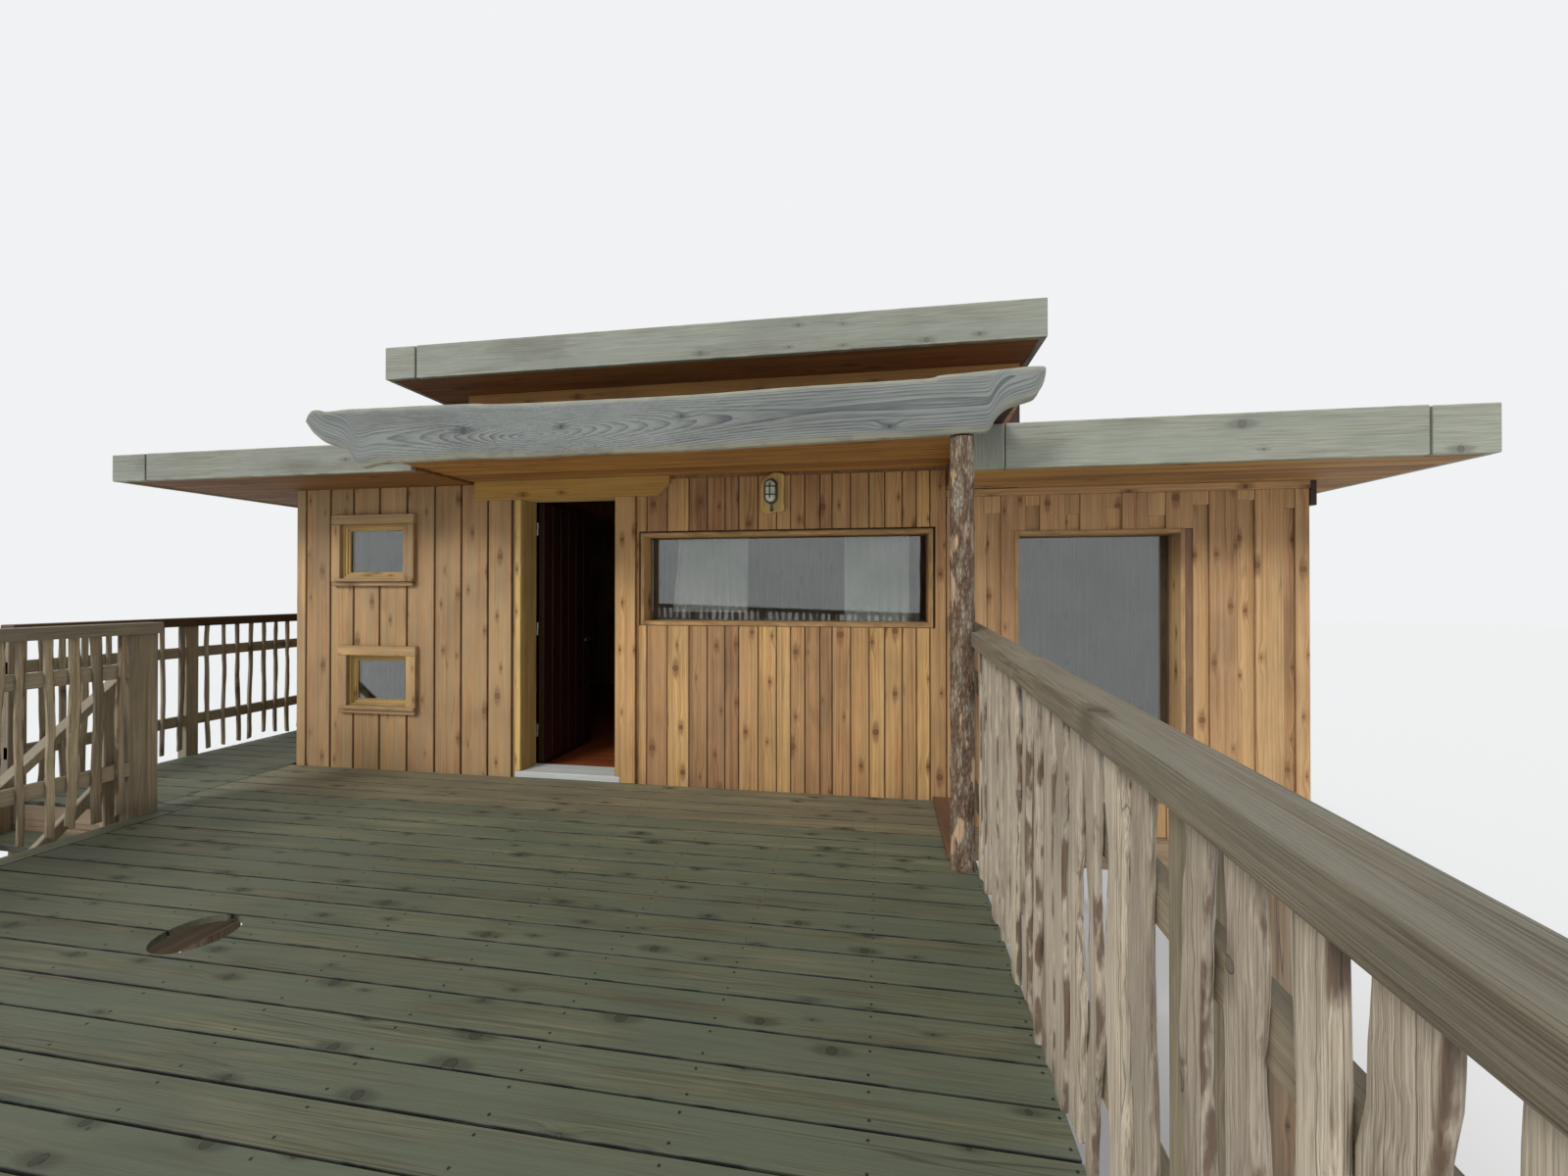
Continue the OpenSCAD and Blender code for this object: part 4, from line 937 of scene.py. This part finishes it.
lower_line = np.vstack([smooth_line(LOWER_EDGE), smooth_line(BEAK)])
lower_line[:, 0] = np.maximum.accumulate(lower_line[:, 0])
upper_line = smooth_line(UPPER_EDGE)


def slab_edges(x):
    return np.interp(x, *lower_line.T), np.interp(x, *upper_line.T)


# %% [markdown]
# The columns of the grid stand closer at both ends, where the outline turns. The front's two long
# edges fall back a little. The grain follows the lower edge and swells towards both ends.

# %% Slab
SLAB_START, SLAB_LENGTH, SLAB_Z, SLAB_MIDDLE = -0.3008, 4.1515, SOFFIT_CANOPY + 0.035, 1.15
SLAB_FRONT, SLAB_BACK = -1.060, -1.000
slab = started(bpy.ops.mesh.primitive_grid_add, x_subdivisions=300, y_subdivisions=18, size=1)
share, rise, _ = (read(slab.data) + (0.5, 0.5, 0)).T
x = SLAB_START + SLAB_LENGTH * (share - 0.92 * np.sin(2 * math.pi * share) / (2 * math.pi))
low, high = slab_edges(x)
low = np.minimum(low, high - 0.002)
ragged = 0.003 * (noise_at((a * 9, b * 3, 5) for a, b in zip(x, rise)) + 0.6).clip(0, 1)
edge_fall = np.maximum(0, 1 - np.minimum(rise, 1 - rise) / 0.10) ** 2 * 0.020
write(slab.data, BAY_LEFT + x, SLAB_FRONT + edge_fall + ragged,
      SLAB_Z + low + (high - low) * rise)
with edit_mode():
    extrude(0, 0.1, 0)
co = read(slab.data)
co[:, 1] = np.where(co[:, 1] > SLAB_BACK + 0.01, SLAB_BACK, co[:, 1])
write(slab.data, co)
with edit_mode():
    faces_out()
grain(slab, 0, 0.5)
x = co[:, 0] - BAY_LEFT
low, high = slab_edges(x)
up, out = co[:, 2] - SLAB_Z - low, np.abs(x - SLAB_MIDDLE)
pith = 0.09 * np.tanh(1.5 * out) + 0.01 * out + 0.006 * np.sin(3.1 * x)
store(slab.data, "grain", up - 0.16 + 0.02 * np.sin(1.7 * x), pith, 7 + x)
store(slab.data, "board", x * 0 + 0.5, up - (high - low) / 2, (high - low) / 2)
assemble("waney_slab", [slab], slab_wood, "silver_wood", ["waney_fascia"], smooth=40)

# %% [markdown]
# ## Round wood
#
# The log post and the split sticks start alike: a ring of points is extruded upwards again and
# again. The log then gets its girth, bumps and knots point by point, and is notched at the top,
# where the slab hangs in front of it.


# %% Round blanks
def pole_blank(sides, rings):
    """A column of radius 1 and height 1, in rings of points."""
    pole = started(bpy.ops.mesh.primitive_circle_add, vertices=sides, radius=1, fill_type="NGON")
    with edit_mode():
        for _ in range(rings):
            extrude(0, 0, 1 / rings)
        faces_out()
    return as_blank(pole)


def chance(i):
    """The same repeatable number from 0 to 1 as in the CAD model."""
    value = math.sin(math.radians(i * 78.233)) * 43758.5453
    return value - math.floor(value)


# %% [markdown]
# The log's girth is given in sixteen steps. Its knots are given by height in millimetres, angle
# in degrees and size in millimetres, and each is a round swelling with a hollow in its middle.

# %% Log post
LOG_R, LOG_X, LOG_Y, STEPS = 0.060, 5.050, -0.985, 16
LOG_KNOTS = [(330, 200, 17), (610, 60, 14), (900, 300, 19), (1180, 170, 15), (1460, 250, 18),
             (1700, 20, 13), (1930, 225, 20), (2080, 310, 14)]
girth = [LOG_R * (1.02 - 0.035 * k / STEPS + 0.045 * (chance(k + 5) - 0.5))
         for k in range(STEPS + 1)]
log = linked("log", pole_blank(48, 180))
co = read(log.data)
for i, (x, y, z) in enumerate(co):
    turn, rise = math.atan2(y, x), z * SOFFIT_CANOPY
    radius = np.interp(z * STEPS, range(STEPS + 1), girth)
    plates, flakes, furrow = noise_at([(x * 2.4, y * 2.4, rise * 5), (x * 5, y * 5, rise * 16 + 4),
                                       (x * 5, y * 5, rise * 2.2 + 9)])
    radius += 0.0045 * plates + 0.002 * flakes - 0.02 * max(0, 0.25 - abs(furrow))
    for knot_z, angle, size in LOG_KNOTS:
        off = (turn - math.radians(angle) + math.pi) % (2 * math.pi) - math.pi
        near_knot = math.hypot(off * LOG_R, rise - knot_z / 1000) / (size / 1000)
        bump = math.exp(-near_knot * near_knot)
        radius += 0.009 * bump * (1 - 1.5 * math.exp(-near_knot * near_knot * 7))
    radius = radius if math.hypot(x, y) > 0.5 else 0.0
    co[i] = (LOG_X + radius * math.cos(turn), LOG_Y + radius * math.sin(turn), rise)
    if rise > SLAB_Z - 0.092:
        co[i][1] = max(co[i][1], -0.9995)
write(log.data, co)

# %% [markdown]
# Bark is not wood, so it has its own finish. Dark flaky bark has fallen off in patches, and there
# the pale wood below shows its streaks. Grey lichen lies over both.

# %% Bark
bark, tree, surface = new_material("bark")
place = put(tree, "Attribute", attribute_name="grain")["Vector"]
flake = put(tree, "TexVoronoi", {"Vector": scaled(place, (75, 75, 22)), "Scale": 1.0},
            feature="DISTANCE_TO_EDGE")
patch = ramp(noisy(place, (17, 17, 4), 8.0), 0.57, 0.63)
lines = noisy(place, (150, 150, 5), 4.0)
shade = blend(tree, ramp(noisy(place, (70, 70, 30), 3.0), 0.3, 0.7), paint("554335"),
              paint("7c614b"))
lichen = ramp(noisy(place, (30, 30, 9), 6.0), 0.45, 0.62, 0.0, 0.8)
shade = blend(tree, lichen, shade, paint("988c78"))
shade = blend(tree, ramp(flake, 0.0, 0.2, 0.55, 0.0), shade, paint("2a1e16"))
bare = blend(tree, ramp(lines, 0.3, 0.7), paint("b3987a"), paint("8a6d54"))
bumps = ramp(flake, 0.0, 0.3) * (patch * -1.0 + 1.0) + lines * 0.35
feed(surface, {"Base Color": blend(tree, patch, shade, bare), "Roughness": 0.88,
               "Normal": put(tree, "Bump", {"Height": bumps, "Strength": 0.9,
                                            "Distance": 0.006})})
assemble("bark_log", [grain(log, 2, 0.5)], bark, "bark_wood", ["log_post"], smooth=50)

# %% [markdown]
# ## Door, frame and lintel
#
# The door is of a rustic ledged kind and stands open. Threshold, lintel and leaf keep their CAD
# shapes, with their edges worn soft, and what swings rides on the door. The frame is built board by
# board: its left jamb stands out as a pale strip, and a broad board covers the right one.

# %% Door
dress("lintel_timber", "lintel_board", lintel_boards, "new_wood", 0.006, 2, 0)
STEP_Z, STOP_Y = 0.045, 0.129
jambs = [plank((DOOR_LEFT, -0.034, STEP_Z), (2.000, 0.0, 2.070), 2, worn, tone=1.0),
         plank((DOOR_LEFT, 0.0, STEP_Z), (2.007, STOP_Y, DOOR_TOP), 2, tone=0.1),
         plank((DOOR_LEFT, STOP_Y, STEP_Z), (1.995, WALL_T, DOOR_TOP), 2),
         plank((2.733, 0.0, STEP_Z), (DOOR_RIGHT, STOP_Y, DOOR_TOP), 2),
         plank((2.745, STOP_Y, STEP_Z), (DOOR_RIGHT, WALL_T, DOOR_TOP), 2),
         plank((2.007, 0.0, 2.068), (2.733, STOP_Y, DOOR_TOP), 0),
         plank((1.995, STOP_Y, 2.080), (2.745, WALL_T, DOOR_TOP), 0)]
assemble("door_jambs", jambs, new_boards, "new_wood", ["door_frame"])
step_cutter = box_cutter((2.6, -0.05, -0.1), (DOOR_RIGHT + 0.001, 0.05, STEP_Z + 0.001))
side_board = plank((2.747, -0.034, 0.0), (2.902, 0.0, 2.070), 2, tone=0.75, cutters=[step_cutter])
discard(step_cutter)
assemble("door_side_board", [side_board], centre_boards, "cladding_wood", ["door_frame"])
dress("threshold_bar", "threshold", sill_boards, "threshold_wood", 0.006, 2, 0)
# The leaf's near-black finish is partly painted shade of the dark room.
dress("door_leaf_boards", "door_leaf", leaf_and_shade_boards, "floor_wood", 0.002, 1, 2, body="door")
for name, node, chamfer, segments, body in (
        ("door_lever", "door_handle", 0.0015, 2, "door"),
        ("leaf_hinge_plates", "leaf_hinges", 0.0006, 1, "door"),
        ("frame_hinge_plates", "frame_hinges", 0.0006, 1, "house")):
    dress(name, node, steel, "handle_metal", chamfer, segments, body=body, smooth=35)
dress("brown_edge_board", "deck_edge_board", edge_boards, "floor_wood", 0.004, 1, 1)

# %% [markdown]
# ## Windows
#
# Each window has a lining in the wall's hole. The two small ones have a pale sash, casing boards of
# the same wood as the wall, and a sill. The two large ones are fixed panes, set deep behind thin
# beads, and their linings are of the wall's wood too. Their linings are lightened, painted light on
# faces that stand in the hole's shade, and their beads darkened, painted shade deep in the hole.
# Board by board, as a joiner would build them, each board has its own grain and the joints show.


# %% Window parts
def surround(hole, width, front, back, tone):
    """Four boards inside a hole, the uprights running past the others."""
    left, right, bottom, top = hole
    return ([plank((x, front, bottom), (x + width, back, top), 2, tone=tone)
             for x in (left, right - width)]
            + [plank((left + width, front, z), (right - width, back, z + width), 0, tone=tone)
               for z in (bottom, top - width)])


def inset(hole, by):
    left, right, bottom, top = hole
    return left + by, right - by, bottom + by, top - by


# %% Small windows
SMALL_LINING, SASH, SASH_STEP = 0.014, 0.034, 0.034 * 0.55
sashes, casings = [], []
for hole, recess in ((UPPER, 0.004), (LOWER, 0.022)):
    left, right, bottom, top = hole
    sash = inset(hole, SMALL_LINING)
    sashes += surround(hole, SMALL_LINING, -0.006, WALL_T, 0.45)
    sashes += surround(sash, SASH_STEP, recess, recess + 0.056, 0.95)
    sashes += surround(inset(sash, SASH_STEP), SASH - SASH_STEP, recess + 0.010, recess + 0.050,
                       0.8)
    apron, shelf, side_top = bottom - 0.028, bottom - 0.026, top - 0.001
    casings += [
        plank((left - 0.035, -0.052, shelf), (right + 0.082, -0.0005, bottom), 0, worn, tone=0.9),
        plank((left - 0.078, -0.034, top), (right + 0.084, 0, top + 0.075), 0),
        plank((left - 0.078, -0.034, shelf), (left, 0, side_top), 2),
        plank((right, -0.034, shelf), (right + 0.084, 0, side_top), 2),
        plank((left - 0.075, -0.030, bottom - 0.060), (right + 0.075, 0, apron), 0, tone=0.1)]
assemble("small_window_sashes", sashes, new_boards, "new_wood", ["small_window_frames"])
assemble("small_window_casings", casings, left_boards, "cladding_wood", ["small_window_frames"])

# %% Large windows
LINING, BEAD, SHADE_STRIP = 0.026, 0.006, 0.056
for hole, node, finish in ((WIDE, "wide_window_frame", centre_boards),
                           (PICTURE, "picture_window_frame", right_boards)):
    (left, right, bottom, top), parts = hole, []
    if hole is PICTURE:
        # A strip right of the picture window's lining, darkened by its tone: painted shade in the
        # recess beside it.
        parts.append(plank((right - SHADE_STRIP, 0.026, bottom), (right - 0.0005, 0.050, top), 2,
                           tone=-1.6))
        right -= SHADE_STRIP
    clear = inset((left, right, bottom, top), LINING)
    # The lining's high tone makes it lighter: painted light on faces that stand in the hole's
    # shade.
    parts += surround((left, right, bottom, top), LINING, -0.006, WALL_T, 1.1)
    # The beads' low tone darkens them: painted shade deep in the hole.
    parts += surround(clear, BEAD, 0.118, 0.178, -0.2)
    if hole is WIDE:
        # A pale strip on the wide window's bottom lining: painted light on the sill.
        parts.append(plank((clear[0], -0.008, clear[2]), (clear[1], 0.118, clear[2] + 0.004), 0,
                           tone=1.3))
    assemble(node.replace("_frame", "_lining"), parts, finish, "cladding_wood", [node])
refinish("window_glass", window_pane)

# %% [markdown]
# ## Curtains
#
# Two sheer curtains hang on a rod behind the wide window. Each is one sheet with its width taken up
# in folds: the folds are sharp under the rod and wander a little lower down.

# %% Curtains
rod = started(bpy.ops.mesh.primitive_cylinder_add, vertices=16, radius=0.007, depth=2.16)
rod.data.transform(Matrix.Translation((3.962, 0.205, 1.800))
                   @ Matrix.Rotation(math.pi / 2, 4, "Y"))
parts = [grain(rod)] + [plank((x - 0.012, WALL_T, 1.785), (x + 0.012, 0.216, 1.815))
                        for x in (2.888, 5.036)]
assemble("curtain_rod", parts, steel, "handle_metal", smooth=40)


def curtain(name, left, right, bottom, folds, seed, flare=0.0):
    width, tall = right - left, 1.805 - bottom
    sheet = started(bpy.ops.mesh.primitive_grid_add, x_subdivisions=folds * 10,
                    y_subdivisions=30, size=1)
    share, rise, _ = (read(sheet.data) + (0.5, 0.5, 0)).T
    fall = 1 - rise
    wander = noise_at((a * 4, b * 1.5, seed) for a, b in zip(share, fall))
    phase = 2 * math.pi * folds * share + wander * fall * 1.6
    y = 0.222 + (0.010 + 0.010 * fall) * np.sin(phase) + 0.006 * wander * fall
    x = left + width * share + 0.004 * np.sin(2 * phase) * fall - flare * fall * (1 - share)
    write(sheet.data, x, y, 1.805 - tall * fall)
    assemble(name, [grain(sheet, 2)], cloth, None, smooth=60)


curtain("left_curtain", 3.150, 3.680, 1.230, 9, 3, flare=0.05)
curtain("right_curtain", 4.390, 4.850, 1.080, 7, 8)

# %% [markdown]
# ## The lamp
#
# A bulkhead lamp hangs on a block that was sawn from a small trunk. It has an oval base, a pale
# glass and a cage with one upright and two cross bars. The oval is a circle whose halves are moved
# apart, so base and glass come from one rule. A short stub of cable hangs below.

# %% Lamp
LAMP_X, LAMP_Z, BAR_R = 3.900, 2.075, 0.0042


def oval(width, tall, steps):
    """A domed oval. Each step is a share of the width and a distance out."""
    body = started(bpy.ops.mesh.primitive_circle_add, vertices=48, radius=width / 2,
                   fill_type="NGON")
    with edit_mode():
        scale = 1.0
        for share, out in steps:
            extrude(0, 0, out)
            bpy.ops.transform.resize(value=(share / scale, share / scale, 1))
            scale = share
    across, up, out = read(body.data).T
    up = up + np.sign(np.round(up, 6)) * (tall - width) / 2
    write(body.data, LAMP_X + across, -0.040 - out, LAMP_Z + up)
    with edit_mode():
        faces_out()
    return grain(body)


glass_dome = oval(0.066, 0.148, [(1.0, 0.030), (0.96, 0.012), (0.82, 0.010), (0.5, 0.005)])
assemble("lamp_glass", [glass_dome], lamp_glass, "lamp_metal", smooth=60)
parts = [oval(0.092, 0.174, [(1.0, 0.016), (0.97, 0.005), (0.92, 0.003), (0.74, 0.002)])]


def cage_bar(start, end, rise):
    """A bar that leaves the base at start, bows out by rise over the glass and comes back."""
    bar = linked("bar", pole_blank(8, 14))
    side, out, t = read(bar.data).T
    bow = rise * np.minimum(1, np.sin(np.pi * t) * 1.8)
    run = np.array([end[0] - start[0], end[1] - start[1]])
    square = np.array([-run[1], run[0]]) / np.hypot(*run)
    x = LAMP_X + start[0] + run[0] * t + square[0] * side * BAR_R
    z = LAMP_Z + start[1] + run[1] * t + square[1] * side * BAR_R
    write(bar.data, x, -0.058 - bow + out * BAR_R, z)
    return grain(bar)


parts.append(cage_bar((0, -0.080), (0, 0.080), 0.044))
parts += [cage_bar((-0.042, z), (0.042, z), 0.042) for z in (-0.028, 0.028)]
for radius, low, high in ((0.006, -0.125, -0.080), (0.012, -0.140, -0.122)):
    stub = linked("stub", pole_blank(16, 3))
    co = read(stub.data) * (radius, radius, high - low)
    write(stub.data, co + (LAMP_X + 0.006, -0.056, LAMP_Z + low))
    parts.append(grain(stub))
assemble("lamp_cage", parts, bronze, "lamp_metal", ["wall_lamp"], smooth=40)
dress("lamp_board", "lamp_block", new_boards, "new_wood", 0.005, 2, 2)

# %% [markdown]
# ## Deck
#
# The terrace is laid with boards along the wall, 138 mm wide with gaps of 8 mm. A border board runs
# along its left edge, and the landing and the gallery have their own shorter boards. Two boards
# are cut round where the hole is. Near the wall the roofs keep the boards dry, and they have stayed
# browner. Their tone also rises towards the wall: painted light that makes up for the shade under
# the roofs. Two screws sit over each joist.

# %% Deck boards
PITCH, BOARD_W, BOARD_T, DRY_ROWS, ROWS, FIRST_Y = 0.146, 0.138, 0.028, 4, 38, -0.028
HOLE_X, HOLE_Y, HOLE_R, BORDER = 1.910, -2.065, 0.140, 0.262
hole_cutter = round_cutter((HOLE_X, HOLE_Y, 0), HOLE_R, 64)
joists = [0.1525 + 0.4955 * i for i in range(11)]


def deck_board(left, front, right, back, top=0.0, **more):
    return plank((left, front, -BOARD_T), (right, back, top), 0, **more)


parts, heads = [], []
for k in range(ROWS):
    back = FIRST_Y - k * PITCH
    front = max(back - BOARD_W, -DECK_DEPTH)
    left = 0.0 if front > -1.01 else BORDER + 0.006
    droop = 0.0012 * dice.random()
    # The tone rises towards the wall: painted light against the shade of the roofs, on top of a
    # random part.
    shade = max(-0.1, 1.3 - 0.13 * k) + 0.5 * dice.random()
    parts.append(deck_board(left, front, DECK_RIGHT, back, -droop, cutters=[hole_cutter],
                            tone=shade))
    for x in joists:
        if x > left + 0.02 and math.hypot(x - HOLE_X, (front + back) / 2 - HOLE_Y) > 0.2:
            heads += [(x + 0.006 * (dice.random() - 0.5), y, -droop)
                      for y in (front + 0.025, back - 0.025)]
discard(hole_cutter)
dry, parts = parts[:DRY_ROWS], parts[DRY_ROWS:]
parts.append(plank((0.130, -DECK_DEPTH, -BOARD_T), (BORDER, -1.006, 0.0), 1))
parts.append(deck_board(0.0, -1.000, BORDER, -0.907, tone=0.5))
for k in range(7):
    back = FIRST_Y - k * PITCH
    parts.append(deck_board(GALLERY_LEFT, max(back - BOARD_W, -1.0), -0.006, back))
y = -0.022
while y < CAB_D:
    parts.append(deck_board(GALLERY_LEFT, y, FIRST_Y, min(y + BOARD_W, CAB_D)))
    y += PITCH
assemble("dry_terrace_boards", dry, dry_planks, "deck_wood", ["deck_boards"])
assemble("terrace_boards", parts, deck_planks, "deck_wood", ["deck_boards"])

# %% Deck screws
screw_blank = pole_blank(8, 1)
parts = []
for x, y, z in heads:
    parts.append(linked("screw", screw_blank.copy()))
    write(parts[-1].data, read(screw_blank) * (0.0045, 0.0045, 0.003) + (x, y, z - 0.0022))
assemble("terrace_screws", parts, screw_metal, "handle_metal")

# %% [markdown]
# ## Railings
#
# The railings are what gives this terrace its character. Sawn posts and two flat rails carry
# sticks that were split, not sawn: each is bowed, leans a little, and is wider in one place than
# in the next. The rule that draws them is the CAD model's own, so each stick stands where its
# solid is. A long handrail is one heavy timber in two lengths that meet over a post. On the right
# it falls a little on its way from the wall to the near corner.

# %% Sticks
BROAD, NARROW, POLES = (0.044, 0.046), (0.028, 0.022), (0.024, 0.014)
stick_blank, thin_blank = pole_blank(12, 36), pole_blank(8, 14)


def stick_places(posts, pitch, seed):
    """Each stick's place and seed: the sticks are spread over every bay between two posts."""
    places = []
    for k, ((first, wide), (last, _)) in enumerate(zip(posts, posts[1:])):
        start = first + wide
        count = math.floor((last - start) / pitch + 1e-9)
        for i in range(count):
            own = seed + 31 * (i + 20 * k)
            sway = 0.022 * (chance(own) - 0.5)
            places.append((start + (i + 0.5) * (last - start) / count + sway, own))
    return places


def stick(u, seed, top, widths):
    """One split stick at u along a railing, from its foot up to top."""
    foot = 0.008 + 0.046 * chance(seed)
    w = widths[0] + widths[1] * chance(seed + 1)
    lean = 0.034 * (chance(seed + 2) - 0.5)
    bow = 0.016 * (chance(seed + 3) - 0.5)
    tips = [0.030 * chance(seed + 4 + side) for side in (0, 1)]
    obj = linked("stick", (thin_blank if widths == POLES else stick_blank).copy())
    across, through, t = read(obj.data).T
    halves = [np.interp(t, np.arange(6) / 5, [w * (0.42 + 0.16 * chance(seed + 7 + k + 10 * side))
                                              for k in range(6)]) for side in (0, 1)]
    half = np.where(across < 0, *halves)
    points = list(zip(across, through, t))
    rough = noise_at((a * 1.9, b * 1.9, c * 12 + seed) for a, b, c in points).clip(0)
    torn = noise_at((a * 3, b * 0.5 + 7, c * 4 + seed) for a, b, c in points)
    torn = np.floor(torn.clip(-0.4, 0.4) * 5) / 5
    wavy = noise_at((seed, 3.7, c * 2.6) for c in t)
    wavy *= (0.5 if widths == BROAD else 0.3) * w * np.minimum(1, 6 * (1 - t))
    middle = u + lean * (t - 0.5) + bow * np.sin(np.pi * t) + wavy
    side = np.sign(across) * np.abs(across) ** 0.45
    thick = np.sign(through) * np.abs(through) ** 0.5
    x = middle + side * half * (1 - 0.20 * rough)
    tilt = 0.008 * (chance(seed + 6) - 0.5) * side * (1 + torn)
    y = -0.0115 + thick * 0.0120 * (1 - 0.45 * rough - 0.4 * torn.clip(0)) + tilt
    z = foot + (top - foot) * t + np.where(t < 0.01, np.where(across < 0, *tips), 0)
    write(obj.data, x, y.clip(-0.024, 0.001), z)
    grain(obj, 2)
    bark_side = 0.004 if chance(seed + 5) < 0.5 else -0.004
    store(obj.data, "board", t * 0 + dice.random(), x - middle + bark_side, half)
    return obj


# %% Railings
HAND_W, HAND_T, POST, BAR_T, BAR_W = 0.120, 0.070, 0.090, 0.040, 0.085
HAND_IN, HAND_OUT = HAND_W * 0.375, HAND_W * 0.625
RAIL_H, WALL_RAIL_H, CORNER_RAIL_H, NEAR_RAIL_H, GALLERY_RAIL_H = 1.190, 1.220, 1.030, 1.0257, 1.160


def sink(board, slope, from_height=-9.0):
    """Lowers a board by the slope of its railing, or only its points above a height."""
    co = read(board.data)
    co[:, 2] -= np.where(co[:, 2] > from_height, slope * co[:, 0], 0)
    write(board.data, co)
    return board


def railing(name, node, turn, posts, seed, height, hand, widths, pitch, logs=(),
            hand_finish=hand_wood, fall=0.0):
    under, slope = height - HAND_T, fall / (posts[-1][0] + posts[-1][1])
    start, end, (low, high) = posts[0][0], posts[-1][0] + 0.010, (-HAND_IN, HAND_OUT)
    sawn = [sink(plank((p, 0, -0.250), (p + wide, POST, under), 2, worn), slope, 0)
            for p, wide in posts]
    for z, lowered in ((0.300, 0.0), (0.900 + height - RAIL_H, slope)):
        bar = plank((start, 0.0005, z - BAR_W / 2), (end, BAR_T, z + BAR_W / 2), 0)
        sawn.append(sink(bar, lowered))
    assemble(name + "_posts_and_bars", sawn, post_wood, "stick_wood", [node], turn)
    parts = [stick(u, own + 1, under + 0.002 - slope * u, widths)
             for u, own in stick_places(posts, pitch, seed)
             if all(abs(u - log_u) >= LOG_R + 0.070 for log_u in logs)]
    finish = {BROAD: stick_wood, NARROW: brown_stick_wood, POLES: pole_wood}[widths]
    assemble(name, parts, finish, "stick_wood", [node], turn)
    cutters = [round_cutter((log_u, LOG_X - DECK_RIGHT, height), LOG_R + 0.008, 40)
               for log_u in logs]
    middle = posts[1][0] + posts[1][1] / 2
    lengths = [hand] if len(posts) == 2 else [(hand[0], middle - 0.001), (middle + 0.001, hand[1])]
    rails = [sink(plank((a, low, under), (b, high, height), 0, worn, cutters), slope)
             for a, b in lengths]
    discard(*cutters)
    assemble(name + "_handrail", rails, hand_finish, "stick_wood", turn=turn)


def even_posts(length, count, last=POST):
    return [(i * (length - last) / (count - 1), POST) for i in range(count - 1)] + [
        (length - last, last)]


def stand(x, y, degrees):
    return Matrix.Translation((x, y, 0)) @ Matrix.Rotation(math.radians(degrees), 4, "Z")


NEAR_LENGTH, LEFT_LENGTH, GALLERY_LENGTH, END_LENGTH = 5.000, 4.570, 5.200, 1.072
right_posts = [(0.028, POST), (1.898, 0.070), (2.936, 0.070), (3.974, 0.070),
               (DECK_DEPTH - POST, POST)]
railing("right_sticks", "right_railing", stand(DECK_RIGHT, 0, -90), right_posts, 100, WALL_RAIL_H,
        (0.028, DECK_DEPTH + HAND_OUT), BROAD, 0.112, [-LOG_Y], fall=WALL_RAIL_H - CORNER_RAIL_H)
railing("near_sticks", "near_railing", stand(DECK_RIGHT, -DECK_DEPTH, 180),
        even_posts(NEAR_LENGTH, 5), 4200, NEAR_RAIL_H, (HAND_IN, NEAR_LENGTH - HAND_IN), BROAD,
        0.112, fall=NEAR_RAIL_H - RAIL_H)
railing("left_sticks", "left_railing", stand(0.130, -DECK_DEPTH, 90),
        even_posts(LEFT_LENGTH, 5, 0.150), 7700, RAIL_H, (-HAND_OUT, LEFT_LENGTH), NARROW, 0.098)
railing("gallery_poles", "gallery_railing", stand(GALLERY_LEFT, -1.0, 90),
        even_posts(GALLERY_LENGTH, 6), 9100, GALLERY_RAIL_H, (0, GALLERY_LENGTH + HAND_OUT), POLES,
        0.116, hand_finish=dark_hand_wood)
railing("gallery_end_poles", "gallery_end_railing", stand(GALLERY_LEFT, CAB_D, 0),
        even_posts(END_LENGTH, 2), 12400, GALLERY_RAIL_H, (HAND_IN, END_LENGTH), POLES, 0.116,
        hand_finish=dark_hand_wood)

# %% [markdown]
# ## Stair
#
# The stair goes down from the landing. Stringers, treads and its railings keep their CAD shapes,
# with broken edges.

# %% Stair
dress("stair_stringer_timber", "stair_stringers", beam_wood, "beam_wood", 0.005)
dress("stair_tread_boards", "stair_treads", deck_planks, "deck_wood", 0.005, 2, 0)
dress("stair_rail_timber", "stair_railings", post_wood, "stick_wood", 0.005)
